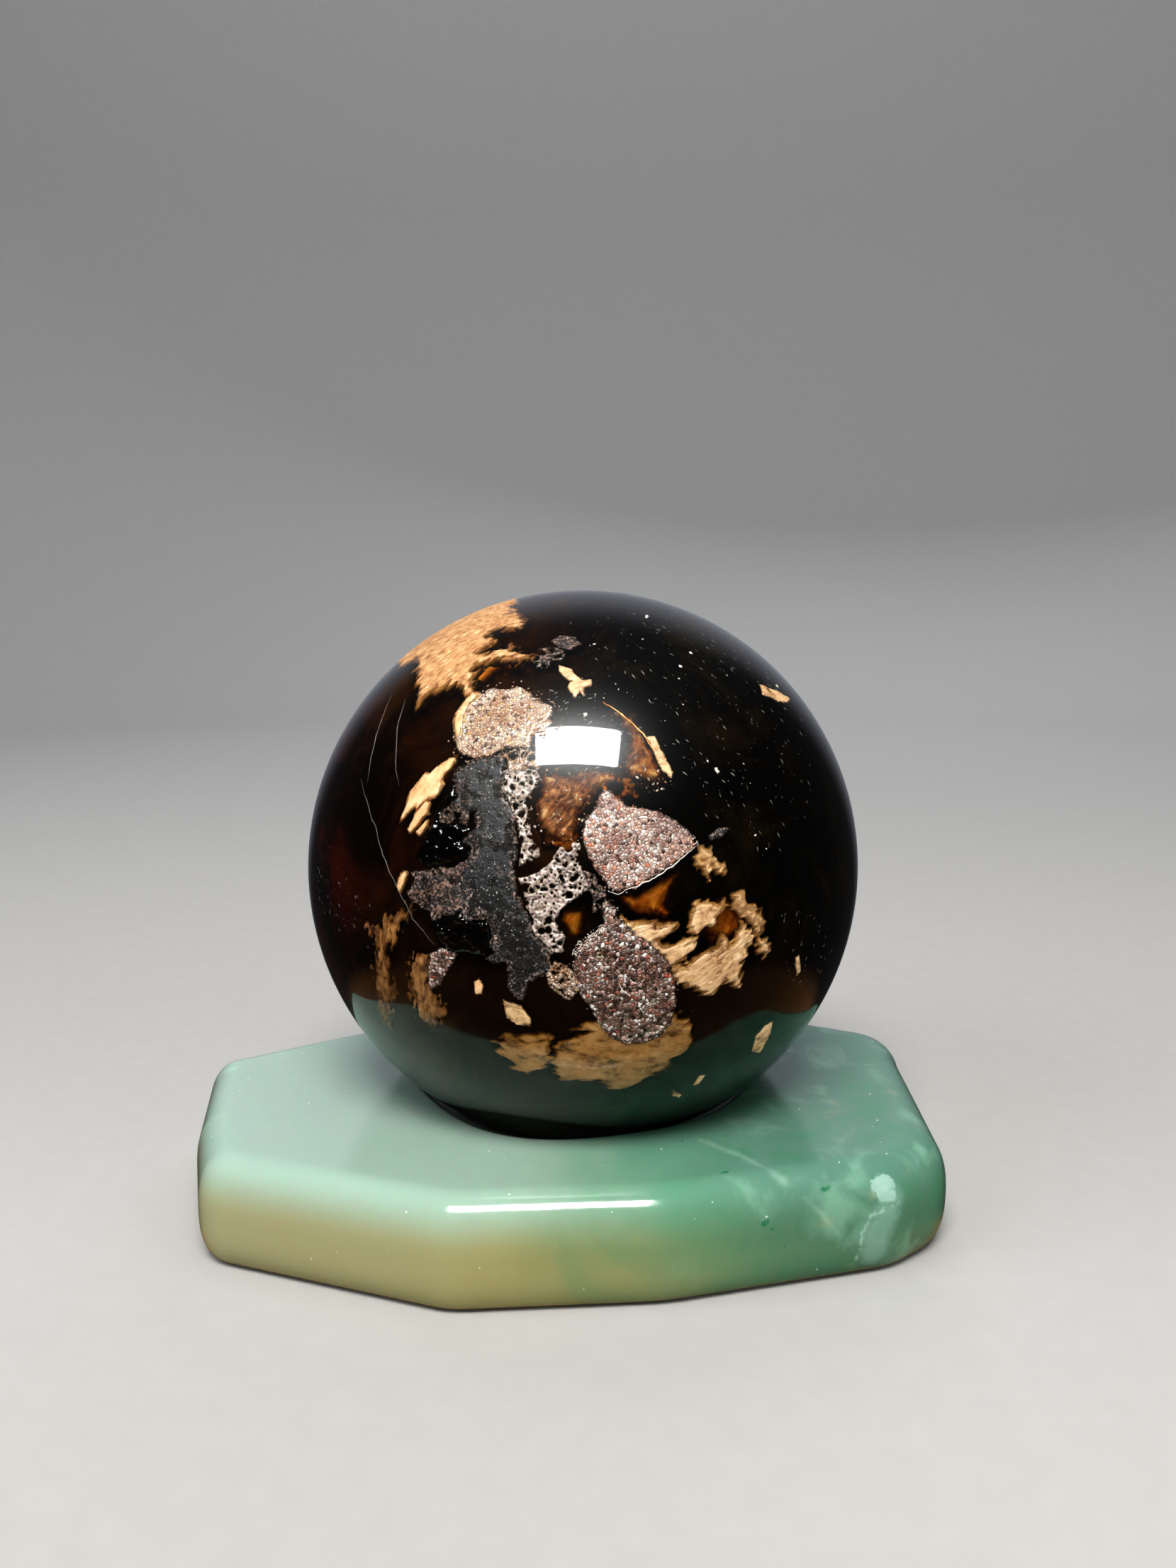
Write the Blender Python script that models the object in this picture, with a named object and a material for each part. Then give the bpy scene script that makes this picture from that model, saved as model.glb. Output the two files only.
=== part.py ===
"""A polished amber sphere standing in the round seat of a small green stone base.

Two loose pieces: amber_sphere, a ball with a small flat under it, and stone_base, a slab with an irregular
eleven-sided plan, convex sides and a dished seat. Metres, +Z up. The origin is at the middle of the underside.
"""

import math

import bmesh
import bpy
import numpy as np

# Sphere
SPHERE_RADIUS = 0.040
FOOT_CUT = 0.0003           # depth of the small flat under the ball
SPHERE_SEGMENTS = 72
SPHERE_RINGS = 36

# Base
SLAB_THICKNESS = 0.014
SLAB_TOP_BELOW_CENTRE = 0.0312   # how far the slab's top lies under the ball's centre
OUTLINE_STEPS = 96          # points round the slab and round its seat
CORNER_ARC_STEPS = 8

# Corners of the slab's plan, seen from above and measured from the ball's axis: x, y, corner radius
SLAB_CORNERS = (
    (-0.0576, 0.0022, 0.0050),
    (-0.0531, -0.0190, 0.0080),
    (-0.0482, -0.0334, 0.0070),
    (-0.0160, -0.0447, 0.0120),
    (0.0100, -0.0428, 0.0300),
    (0.0393, -0.0350, 0.0140),
    (0.0482, -0.0280, 0.0120),
    (0.0504, 0.0062, 0.0080),
    (0.0515, 0.0147, 0.0080),
    (0.0132, 0.0332, 0.0140),
    (-0.0119, 0.0335, 0.0140),
)

# Side profile from the underside up: height as a share of the thickness, inset from the widest line
SIDE_LOWER = (
    (0.000, 0.0026),
    (0.030, 0.0016),
    (0.100, 0.0008),
    (0.240, 0.0002),
    (0.420, 0.0000),
)
SIDE_UPPER = (
    (0.600, 0.0002),
    (0.760, 0.0007),
    (0.880, 0.0015),
    (0.955, 0.0025),
    (0.990, 0.0035),
    (1.000, 0.0046),
)
SOFTER_RIGHT = 0.5          # how much wider the top rounding is at the right-hand end

# Seat
SEAT_CLEARANCE = 0.0004     # the bowl's radius minus the ball's
CONTACT_GAP = 0.0003
RIM_ROUND = 0.0005          # depth of the rim's rounding
RIM_SPREAD = 0.0008         # its width
RIM_STEPS = 4
BOWL_STEPS = 8

# The worn side of the seat, where the rim stands away from the ball
SCOOP_BEARING = math.radians(-111)
SCOOP_HALF_WIDTH = math.radians(40)
SCOOP_REACH = 0.0019

# Colours and roughness
AMBER_COLOUR = (0.045, 0.026, 0.012)
AMBER_ROUGHNESS = 0.06
STONE_COLOUR = (0.40, 0.60, 0.48)
STONE_ROUGHNESS = 0.22

SHARP_ANGLE = math.radians(35)


def clear_scene():
    """Remove every object that is already in the scene."""
    for old in list(bpy.data.objects):
        bpy.data.objects.remove(old, do_unlink=True)


def make_material(name, colour, roughness):
    """A plain Principled finish for one piece."""
    material = bpy.data.materials.new(name)
    material.use_nodes = True
    shader = material.node_tree.nodes["Principled BSDF"]
    shader.inputs["Base Color"].default_value = (*colour, 1.0)
    shader.inputs["Roughness"].default_value = roughness
    shader.inputs["Metallic"].default_value = 0.0
    return material


def add_object(name, shape, material, location):
    """Turn a bmesh into a smooth-shaded object in the scene."""
    bmesh.ops.recalc_face_normals(shape, faces=shape.faces)
    mesh = bpy.data.meshes.new(name)
    shape.to_mesh(mesh)
    shape.free()
    mesh.shade_smooth()
    mesh.set_sharp_from_angle(angle=SHARP_ANGLE)
    mesh.materials.append(material)
    piece = bpy.data.objects.new(name, mesh)
    piece.location = location
    bpy.context.collection.objects.link(piece)
    return piece


def rounded_outline(corners):
    """The slab's widest line: straight sides joined by an arc of each corner's own radius."""
    points = []
    count = len(corners)
    for i, (x, y, radius) in enumerate(corners):
        here = np.array((x, y))
        before = np.array(corners[i - 1][:2]) - here
        after = np.array(corners[(i + 1) % count][:2]) - here
        before /= np.linalg.norm(before)
        after /= np.linalg.norm(after)
        half = math.acos(float(before @ after)) / 2
        bisector = (before + after) / np.linalg.norm(before + after)
        centre = here + bisector * radius / math.sin(half)
        start = before * radius / math.tan(half) + here - centre
        end = after * radius / math.tan(half) + here - centre
        for step in range(CORNER_ARC_STEPS + 1):
            blend = start + (end - start) * step / CORNER_ARC_STEPS
            points.append(centre + blend / np.linalg.norm(blend) * radius)
    return np.array(points)


def outline_at(outline, bearings):
    """The outline's point at each bearing from the ball's axis. Every point lies on the outline."""
    found = np.arctan2(outline[:, 1], outline[:, 0])
    x = np.interp(bearings, found, outline[:, 0], period=2 * math.pi)
    y = np.interp(bearings, found, outline[:, 1], period=2 * math.pi)
    return np.stack([x, y], axis=1)


def inset_line(line, distance):
    """Move each point of a closed line inwards along the line's own normal."""
    along = np.roll(line, -1, axis=0) - np.roll(line, 1, axis=0)
    along /= np.linalg.norm(along, axis=1)[:, None]
    inward = np.stack([-along[:, 1], along[:, 0]], axis=1)
    return line + inward * np.broadcast_to(distance, len(line))[:, None]


def add_ring(shape, line, height):
    """One closed ring of vertices at a height."""
    return [shape.verts.new((x, y, height)) for x, y in line]


def join_rings(shape, lower, upper):
    """Quads between two rings of the same number of vertices."""
    count = len(lower)
    for i in range(count):
        j = (i + 1) % count
        shape.faces.new((lower[i], lower[j], upper[j], upper[i]))


def cap_ring(shape, ring, centre):
    """A fan of triangles that closes a ring at its middle."""
    middle = shape.verts.new(centre)
    count = len(ring)
    for i in range(count):
        shape.faces.new((ring[i], ring[(i + 1) % count], middle))


def build_sphere():
    """The ball, centred on its own origin, with its small flat cut under it."""
    shape = bmesh.new()
    bmesh.ops.create_uvsphere(
        shape, u_segments=SPHERE_SEGMENTS, v_segments=SPHERE_RINGS, radius=SPHERE_RADIUS
    )
    everything = shape.verts[:] + shape.edges[:] + shape.faces[:]
    cut = bmesh.ops.bisect_plane(
        shape,
        geom=everything,
        plane_co=(0, 0, -SPHERE_RADIUS + FOOT_CUT),
        plane_no=(0, 0, -1),
        clear_outer=True,
    )
    rim = [edge for edge in cut["geom_cut"] if isinstance(edge, bmesh.types.BMEdge)]
    bmesh.ops.holes_fill(shape, edges=rim, sides=0)
    return shape


def build_slab(line, angles):
    """The slab with its underside at height 0, its convex sides and its dished seat."""
    shape = bmesh.new()
    reach = np.clip(line[:, 0] / np.abs(line[:, 0]).max(), 0, 1)
    softer = 1 + SOFTER_RIGHT * reach**2
    rings = []
    for share, inset in SIDE_LOWER:
        rings.append(add_ring(shape, inset_line(line, inset), share * SLAB_THICKNESS))
    for share, inset in SIDE_UPPER:
        rings.append(add_ring(shape, inset_line(line, inset * softer), share * SLAB_THICKNESS))
    rings += seat_rings(shape, angles)
    for lower, upper in zip(rings, rings[1:]):
        join_rings(shape, lower, upper)
    cap_ring(shape, rings[0][::-1], (0, 0, 0))
    cap_ring(shape, rings[-1], (0, 0, rings[-1][0].co.z))
    return shape


def seat_rings(shape, angles):
    """Rings from the seat's rim, over its small round, down the bowl to the flat floor."""
    around = np.stack([np.cos(angles), np.sin(angles)], axis=1)
    bowl_radius = SPHERE_RADIUS + SEAT_CLEARANCE
    floor_below = SPHERE_RADIUS - FOOT_CUT + CONTACT_GAP
    rim_below = SLAB_TOP_BELOW_CENTRE + RIM_ROUND
    rim_radius = math.sqrt(bowl_radius**2 - rim_below**2)
    floor_radius = math.sqrt(bowl_radius**2 - floor_below**2)
    profile = []
    for step in range(RIM_STEPS):
        turn = math.pi / 2 * step / RIM_STEPS
        out = RIM_SPREAD * (1 - math.sin(turn))
        profile.append((rim_radius + out, RIM_ROUND * (1 - math.cos(turn))))
    first = math.asin(rim_radius / bowl_radius)
    last = math.asin(floor_radius / bowl_radius)
    for step in range(BOWL_STEPS + 1):
        turn = first + (last - first) * step / BOWL_STEPS
        profile.append((bowl_radius * math.sin(turn), bowl_radius * math.cos(turn) - SLAB_TOP_BELOW_CENTRE))
    worn = scoop(angles)
    rings = []
    for radius, depth in profile:
        share = np.clip((radius - floor_radius) / (rim_radius - floor_radius), 0, 1)
        reach = radius + worn * share**2
        rings.append(add_ring(shape, around * reach[:, None], SLAB_THICKNESS - depth))
    return rings


def scoop(angles):
    """How far the rim is worn outwards at each bearing: a smooth bump on the worn side, 0 elsewhere."""
    away = np.abs((angles - SCOOP_BEARING + math.pi) % (2 * math.pi) - math.pi)
    share = np.clip(away / SCOOP_HALF_WIDTH, 0, 1)
    return SCOOP_REACH * np.cos(share * math.pi / 2) ** 2


def main():
    """Build both pieces and place them so that the origin is at the middle of the underside."""
    clear_scene()
    angles = np.linspace(-math.pi, math.pi, OUTLINE_STEPS, endpoint=False)
    line = outline_at(rounded_outline(SLAB_CORNERS), angles)

    # The ball's axis is placed so that the whole object's box is centred on the origin
    low_x = min(line[:, 0].min(), -SPHERE_RADIUS)
    high_x = max(line[:, 0].max(), SPHERE_RADIUS)
    low_y = min(line[:, 1].min(), -SPHERE_RADIUS)
    high_y = max(line[:, 1].max(), SPHERE_RADIUS)
    ball_x = -(low_x + high_x) / 2
    ball_y = -(low_y + high_y) / 2
    ball_z = SLAB_THICKNESS + SLAB_TOP_BELOW_CENTRE

    amber = make_material("amber", AMBER_COLOUR, AMBER_ROUGHNESS)
    stone = make_material("green_stone", STONE_COLOUR, STONE_ROUGHNESS)
    add_object("amber_sphere", build_sphere(), amber, (ball_x, ball_y, ball_z))
    add_object("stone_base", build_slab(line, angles), stone, (ball_x, ball_y, 0))


main()
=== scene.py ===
# %% [markdown]
# # A polished amber sphere on a green stone base
#
# The object is a ball of very dark amber, cut and polished so that the sand, ash-grey rock and resin crust
# that grew into it show at its skin. It stands in a dished seat in a small slab of green and cream stone.
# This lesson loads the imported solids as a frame, then builds each surface as arrays of points.

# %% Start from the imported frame
import math

import bpy
import numpy as np
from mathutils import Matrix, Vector


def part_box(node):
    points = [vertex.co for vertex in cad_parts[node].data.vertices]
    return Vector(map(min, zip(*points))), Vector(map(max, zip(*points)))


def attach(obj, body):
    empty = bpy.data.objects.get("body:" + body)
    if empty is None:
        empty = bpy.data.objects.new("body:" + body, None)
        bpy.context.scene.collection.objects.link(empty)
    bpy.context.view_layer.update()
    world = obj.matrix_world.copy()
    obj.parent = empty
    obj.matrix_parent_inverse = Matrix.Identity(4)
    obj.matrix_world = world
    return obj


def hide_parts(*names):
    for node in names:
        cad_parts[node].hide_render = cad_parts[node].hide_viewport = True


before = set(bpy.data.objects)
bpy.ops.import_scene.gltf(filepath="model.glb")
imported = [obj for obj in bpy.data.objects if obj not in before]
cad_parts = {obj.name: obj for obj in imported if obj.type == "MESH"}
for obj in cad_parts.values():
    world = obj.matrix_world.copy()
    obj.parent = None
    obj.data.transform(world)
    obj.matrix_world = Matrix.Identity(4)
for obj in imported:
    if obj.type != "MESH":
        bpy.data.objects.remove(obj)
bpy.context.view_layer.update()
print("frame nodes:", sorted(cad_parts))

# %% [markdown]
# ## Where the ball is
#
# Every inclusion is placed on the ball, so the ball's centre and radius come first. They are read from the
# CAD node's own box: the top of the box is the top of the ball, and its sides are one radius from the axis.
# The polish lies a hair inside the solid, so that grains which stand a hair proud stay inside the box too.

# %% The ball's centre and radius
ball_low, ball_high = (np.array(corner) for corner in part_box("amber_sphere"))
SOLID_RADIUS = (ball_high[0] - ball_low[0]) / 2
RADIUS = SOLID_RADIUS - 0.00015
CENTRE = np.array([
    (ball_low[0] + ball_high[0]) / 2,
    (ball_low[1] + ball_high[1]) / 2,
    ball_high[2] - SOLID_RADIUS,
])
FOOT_HEIGHT = ball_low[2] - CENTRE[2]
MM = 0.001
print("ball radius %.2f mm, centre %s" % (RADIUS / MM, CENTRE.round(5)))

# %% [markdown]
# ## The camera
#
# The photograph was taken close to the ball with a wide lens, looking slightly down. The lens and the
# distance were found from the ball's outline and the horizon. The same numbers turn a pixel of the
# photograph into a ray, so an inclusion can be put where it is seen and still sit on the ball from every
# side.

# %% Camera and rays
PHOTO_SIZE = (1659, 2212)
LENS_MM = 27.0
SENSOR_MM = 36.0
PITCH_DOWN = math.radians(8.23)
EYE = CENTRE + np.array([0.0007, -0.1716, 0.0365])
FOCAL_PIXELS = LENS_MM / SENSOR_MM * PHOTO_SIZE[1]

camera_data = bpy.data.cameras.new("camera")
camera_data.lens = LENS_MM
camera_data.sensor_width = SENSOR_MM
camera_data.clip_start = 0.005
camera_data.clip_end = 20.0
camera = bpy.data.objects.new("camera", camera_data)
camera.location = EYE
camera.rotation_euler = (math.pi / 2 - PITCH_DOWN, 0, 0)
bpy.context.scene.collection.objects.link(camera)
bpy.context.scene.camera = camera


def unit(vectors):
    """Each vector divided by its own length."""
    vectors = np.asarray(vectors, float)
    return vectors / np.linalg.norm(vectors, axis=-1, keepdims=True)


def pixel_rays(pixels):
    """World directions through pixels: right and up from the middle, then turned down by the pitch."""
    pixels = np.asarray(pixels, float)
    right = (pixels[..., 0] - PHOTO_SIZE[0] / 2) / FOCAL_PIXELS
    up = -(pixels[..., 1] - PHOTO_SIZE[1] / 2) / FOCAL_PIXELS
    forward_y = math.cos(PITCH_DOWN) + up * math.sin(PITCH_DOWN)
    forward_z = -math.sin(PITCH_DOWN) + up * math.cos(PITCH_DOWN)
    return unit(np.stack([right, forward_y, forward_z], axis=-1))


def ball_directions(pixels):
    """Unit directions from the ball's centre to the points seen at pixels, or to the limb beside them."""
    rays = pixel_rays(pixels)
    offset = EYE - CENTRE
    along = rays @ offset
    inside = along**2 - (offset @ offset - RADIUS**2)
    reach = -along - np.sqrt(np.maximum(inside, 0))
    return unit(offset + rays * reach[..., None])


print("camera %.0f mm from the ball's centre" % (np.linalg.norm(EYE - CENTRE) / MM))

# %% [markdown]
# ## Repeatable randomness
#
# Rock and resin need ragged edges and grain. Random values at the corners of a lattice, blended between the
# corners, give a smooth noise that is the same on every run. Adding smaller copies makes it rough.

# %% Smooth and rough noise
HASH_BITS = 0xFFFFFFFF
VALUE_BITS = 0xFFFFFF
HASH_STEPS = (374761393, 668265263, 362437)
HASH_SEED_STEP = 974711
HASH_STIRS = ((13, 1274126177), (15, 461845907))
HASH_LAST_SHIFT = 16
OCTAVE_SHARE = 0.55
OCTAVE_SEED_STEP = 17
OCTAVE_TOTAL = 1.6


def lattice_value(cell, seed):
    """A random number from 0 to 1 for each lattice cell: its numbers times large factors, well stirred."""
    mixed = sum(cell[..., k] * HASH_STEPS[k] for k in range(3)) + seed * HASH_SEED_STEP
    mixed = mixed & HASH_BITS
    for shift, factor in HASH_STIRS:
        mixed = (mixed ^ (mixed >> shift)) * factor & HASH_BITS
    return ((mixed ^ (mixed >> HASH_LAST_SHIFT)) & VALUE_BITS) / VALUE_BITS


def smooth_noise(points, size, seed):
    """Values from -1 to 1: the eight corner values of a point's cell, blended by how near each corner is."""
    place = points / size
    cell = np.floor(place).astype(np.int64)
    part = place - cell
    part = part * part * (3 - 2 * part)
    total = np.zeros(points.shape[:-1])
    for dx, dy, dz in np.ndindex(2, 2, 2):
        weight = np.abs(1 - dx - part[..., 0]) * np.abs(1 - dy - part[..., 1]) * np.abs(1 - dz - part[..., 2])
        total += weight * lattice_value(cell + (dx, dy, dz), seed)
    return total * 2 - 1


def rough_noise(points, size, seed, octaves=4):
    """Smooth noise plus smaller copies at half the size each, scaled back to about -1 to 1."""
    total = 0
    share = 1.0
    for octave in range(octaves):
        total = total + share * smooth_noise(points, size / 2**octave, seed + OCTAVE_SEED_STEP * octave)
        share *= OCTAVE_SHARE
    return total / OCTAVE_TOTAL


def ramp(value, low, high):
    """0 below low, 1 above high, and a smooth step between."""
    share = np.clip((value - low) / (high - low), 0, 1)
    return share * share * (3 - 2 * share)


print("rough noise at the ball's centre: %.3f" % rough_noise(CENTRE[None], 10 * MM, 1)[0])

# %% [markdown]
# Packed grains and bubbles need the distance to the nearest of many scattered points, one in each cell of a
# lattice. Where the second nearest is just as near, two grains meet.

# %% Cell noise


def cell_noise(points, size, seed):
    """Distance to the nearest and second nearest scattered point, in cells, and the nearest one's value."""
    place = points / size
    cell = np.floor(place).astype(np.int64)
    nearest = np.full(points.shape[:-1], 9.0)
    second = nearest.copy()
    own = np.zeros(points.shape[:-1])
    for step in np.ndindex(3, 3, 3):
        other = cell + step - 1
        spot = np.stack([lattice_value(other, seed + k) for k in (1, 2, 3)], axis=-1)
        distance = np.linalg.norm(other + spot - place, axis=-1)
        closer = distance < nearest
        second = np.where(closer, nearest, np.minimum(second, distance))
        own = np.where(closer, lattice_value(other, seed + 4), own)
        nearest = np.where(closer, distance, nearest)
    return nearest, second, own


print("nearest grain to the ball's centre: %.2f cells away" % cell_noise(CENTRE[None], MM, 1)[0][0])

# %% [markdown]
# ## Making meshes
#
# One helper turns points and faces into an object that rides on the part. The others give what every round
# surface needs: directions by two angles, and the faces between rings of points. They work on whole arrays,
# because a loop over single points would be slow.

# %% Mesh helpers


def make_piece(name, points, faces, material, values=None):
    """A smooth-shaded mesh object from points and their faces, with named values on its points."""
    mesh = bpy.data.meshes.new(name)
    mesh.from_pydata(points.tolist(), [], faces if isinstance(faces, list) else faces.tolist())
    for key, value in (values or {}).items():
        layer = mesh.attributes.new(key, "FLOAT", "POINT")
        layer.data.foreach_set("value", np.ascontiguousarray(value, np.float32))
    mesh.materials.append(material)
    mesh.shade_smooth()
    mesh.validate()
    piece = bpy.data.objects.new(name, mesh)
    bpy.context.scene.collection.objects.link(piece)
    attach(piece, "root")
    return piece


def round_directions(rows, columns):
    """Unit directions by two angles: rings from the top down, and then straight up and straight down."""
    down = np.linspace(0, math.pi, rows + 2)[1:-1, None]
    around = np.linspace(0, 2 * math.pi, columns, endpoint=False)[None, :]
    height = np.cos(down) * np.ones_like(around)
    grid = np.stack([np.sin(down) * np.cos(around), np.sin(down) * np.sin(around), height], -1)
    return np.concatenate([grid.reshape(-1, 3), [(0, 0, 1), (0, 0, -1)]])


def ring_quads(rows, columns):
    """Quads between closed rings of points, each ring joined to the next."""
    row = np.arange(rows - 1)[:, None] * columns
    here = np.arange(columns)[None, :]
    after = (here + 1) % columns
    return np.stack([row + here, row + columns + here, row + columns + after, row + after], -1).reshape(-1, 4)


def closed_round(rows, columns, flip=False):
    """Faces of a closed surface: quads between its rings, and a fan of triangles round each pole."""
    here = np.arange(columns)
    after = (here + 1) % columns
    pole = rows * columns
    last = pole - columns
    first_fan = np.stack([np.full(columns, pole), here, after], -1)
    last_fan = np.stack([np.full(columns, pole + 1), last + after, last + here], -1)
    order = -1 if flip else 1
    parts = (ring_quads(rows, columns), first_fan, last_fan)
    return [face for part in parts for face in part[:, ::order].tolist()]


print("a ball of 3 rings of 8 points has", len(closed_round(3, 8)), "faces")

# %% [markdown]
# ## Making finishes
#
# Each helper builds a few material nodes in one line, so every finish below reads like a recipe. Patterns
# use the Object coordinate in metres, so a grain has the same size on every piece and no unwrapping is
# needed.

# %% Material helpers


def add(tree, kind, settings, **inputs):
    """Add one shader node, set its properties, and set or link its inputs. Input names use _ for a space."""
    made = tree.nodes.new("ShaderNode" + kind)
    for key, value in settings.items():
        setattr(made, key, value)
    for key, value in inputs.items():
        socket = made.inputs[key.replace("_", " ")]
        if isinstance(value, bpy.types.NodeSocket):
            tree.links.new(value, socket)
        else:
            socket.default_value = value
    return made


def new_finish(name, **inputs):
    """A Principled material, with its node tree and the Object coordinate that its patterns use."""
    material = bpy.data.materials.new(name)
    material.use_nodes = True
    tree = material.node_tree
    shader = tree.nodes["Principled BSDF"]
    for key, value in inputs.items():
        shader.inputs[key.replace("_", " ")].default_value = value
    place = tree.nodes.new("ShaderNodeTexCoord").outputs["Object"]
    return material, tree, shader, place


def colour_ramp(tree, factor, stops):
    """Colours along a factor. Each stop is a position and a red, green, blue triple."""
    made = tree.nodes.new("ShaderNodeValToRGB")
    steps = made.color_ramp.elements
    while len(steps) < len(stops):
        steps.new(0.5)
    for step, (position, colour) in zip(steps, stops):
        step.position = position
        step.color = (*colour, 1.0)
    tree.links.new(factor, made.inputs["Fac"])
    return made.outputs["Color"]


def mix_colours(tree, factor, first, second, blend="MIX"):
    """Blend two colours by a factor from 0 to 1."""
    made = tree.nodes.new("ShaderNodeMix")
    made.data_type = "RGBA"
    made.blend_type = blend
    for index, value in ((0, factor), (6, first), (7, second)):
        if isinstance(value, bpy.types.NodeSocket):
            tree.links.new(value, made.inputs[index])
        elif index == 0:
            made.inputs[0].default_value = value
        else:
            made.inputs[index].default_value = (*value, 1.0)
    return made.outputs[2]


def steps_between(tree, value, low, high):
    """A factor that rises smoothly from 0 at low to 1 at high."""
    made = add(tree, "MapRange", {"interpolation_type": "SMOOTHSTEP"}, Value=value, From_Min=low,
               From_Max=high)
    return made.outputs["Result"]


def relief(tree, shader, height, distance):
    """Fine relief under the size of the mesh, as a bump on the shader's normal."""
    made = add(tree, "Bump", {}, Height=height, Distance=distance, Strength=1.0)
    tree.links.new(made.outputs["Normal"], shader.inputs["Normal"])


def attribute(tree, name):
    """The value that the mesh keeps on its points under this name."""
    made = tree.nodes.new("ShaderNodeAttribute")
    made.attribute_name = name
    return made.outputs["Fac"]


def noise_at(tree, place, size, detail, rough=0.55, bend=0.0):
    """Noise whose blobs are about size metres across."""
    made = add(tree, "TexNoise", {}, Vector=place, Scale=1 / size, Detail=detail, Roughness=rough,
               Distortion=bend)
    return made.outputs["Fac"]


def cells_at(tree, place, size, feature="F1"):
    """Packed cells about size metres across."""
    return add(tree, "TexVoronoi", {"feature": feature}, Vector=place, Scale=1 / size, Randomness=1.0)


print("finish helpers for noise, cells, ramps and relief")

# %% [markdown]
# ## The amber
#
# The ball is clear resin so thick and so dark that it looks black in the middle, and only shows its
# red-brown at the thin rim and over pale things just under its skin. That is what a plain absorbing volume
# does: each millimetre keeps seven eighths of the red, three quarters of the green and not quite half of
# the blue.

# %% Amber: clear at the skin, dark in depth
KEPT_PER_MM = np.array([0.875, 0.74, 0.47])
ABSORBED_PER_M = -np.log(KEPT_PER_MM) * 1000
ABSORB_DENSITY = float(ABSORBED_PER_M.max())
ABSORB_COLOUR = tuple(1 - ABSORBED_PER_M / ABSORB_DENSITY)
AMBER_MIRROR = 0.38

amber, tree, shader, place = new_finish(
    "amber", Base_Color=(1.0, 0.97, 0.92, 1.0), Roughness=0.03, IOR=1.54, Transmission_Weight=1.0,
    Specular_Tint=(AMBER_MIRROR, AMBER_MIRROR, AMBER_MIRROR, 1.0), Coat_Weight=0.30, Coat_Roughness=0.30,
)
volume = add(tree, "VolumeAbsorption", {}, Color=(*ABSORB_COLOUR, 1.0), Density=ABSORB_DENSITY)
tree.links.new(volume.outputs["Volume"], tree.nodes["Material Output"].inputs["Volume"])
print("the amber absorbs", ABSORBED_PER_M.round(), "of red, green and blue per metre")

# %% [markdown]
# The polished skin could be a UV sphere from Blender's menu, but points made from two angles are flattened
# at the foot, where the ball rests, with one more line.

# %% The polished ball
BALL_AROUND = 320
BALL_RINGS = 159


def ball_surface():
    """Points of a sphere by two angles, with everything below the foot lifted to the foot's flat."""
    points = round_directions(BALL_RINGS, BALL_AROUND) * RADIUS
    points[:, 2] = np.maximum(points[:, 2], FOOT_HEIGHT)
    return points + CENTRE


ball = make_piece("amber_ball", ball_surface(), closed_round(BALL_RINGS, BALL_AROUND), amber)
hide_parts("amber_sphere")
print("amber ball:", len(ball.data.polygons), "faces")

# %% [markdown]
# Deeper in, the resin is cloudy and almost black. A lumpy closed surface a few millimetres under the skin
# stands for that: it stops the eye. It is painted olive on the left and greenish black on the right, under
# the clear amber in front of it, and deep red at the left rim as a painted glow of light through the thin
# edge.

# %% The heart's finish
heart_finish, tree, shader, place = new_finish("cloudy_heart", Roughness=0.9, Specular_IOR_Level=0.0)
swirl = noise_at(tree, place, 0.013, 5.0, 0.60, 0.7)
parts = add(tree, "SeparateXYZ", {}, Vector=place)
olive = mix_colours(tree, steps_between(tree, swirl, 0.35, 0.70), (0.006, 0.004, 0.002),
                    (0.060, 0.046, 0.018))
green = mix_colours(tree, steps_between(tree, swirl, 0.45, 0.75), (0.002, 0.003, 0.002),
                    (0.030, 0.044, 0.036))
# Deep red for the left rim: a painted glow of light shining through the thin edge.
painted_rim_glow = mix_colours(tree, steps_between(tree, swirl, 0.40, 0.70), (0.008, 0.002, 0.001), (0.10, 0.012, 0.005))
middle_x = float(CENTRE[0])
to_right = steps_between(tree, parts.outputs["X"], middle_x - 0.010, middle_x + 0.006)
body = mix_colours(tree, to_right, olive, green)
# Where the painted glow lies: the outer left rim only.
rim_glow_mask = steps_between(tree, parts.outputs["X"], middle_x - 0.024, middle_x - 0.033)
body = mix_colours(tree, rim_glow_mask, body, painted_rim_glow)
tree.links.new(body, shader.inputs["Base Color"])
print("heart: olive, then green to the right, ruby at the left rim")

# %% [markdown]
# The heart's surface is the ball's own, pressed inwards by a depth that rolls with noise.

# %% Cloudy heart
HEART_AROUND = 240
HEART_RINGS = 119
HEART_DEPTH = 0.0024
HEART_ROLL = 0.0011
HEART_ROLL_SIZE = 0.011


def heart_surface():
    """Points by two angles; radius = the ball's, less a depth of 1.5 to 3.7 mm that rolls with noise."""
    way = round_directions(HEART_RINGS, HEART_AROUND)
    skin = CENTRE + way * RADIUS
    depth = HEART_DEPTH + HEART_ROLL * np.clip(rough_noise(skin, HEART_ROLL_SIZE, 8, 3), -0.8, 1.2)
    return skin - way * depth[:, None]


heart = make_piece("amber_heart", heart_surface(), closed_round(HEART_RINGS, HEART_AROUND), heart_finish)
print("heart:", len(heart.data.polygons), "faces")

# %% [markdown]
# ## Laying an inclusion into the ball
#
# Each inclusion was cut through when the ball was ground, so what shows is its outline on a sphere, flush
# with the polish, and its sides run down into the resin. So an inclusion is made as a plate: its outline is
# drawn on a flat chart of the ball, a fine grid is kept wherever a distance field is positive, and the kept
# grid is bent back on to the ball with a top skin, a bottom skin and a wall between them. Noise added to
# the field makes the edge ragged, and a second field can punch pits through it.

# %% Charts of the ball and distance to an outline
EYE_WAY = unit(EYE - CENTRE)
LIMB_TURN = math.acos(RADIUS / np.linalg.norm(EYE - CENTRE))


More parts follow.
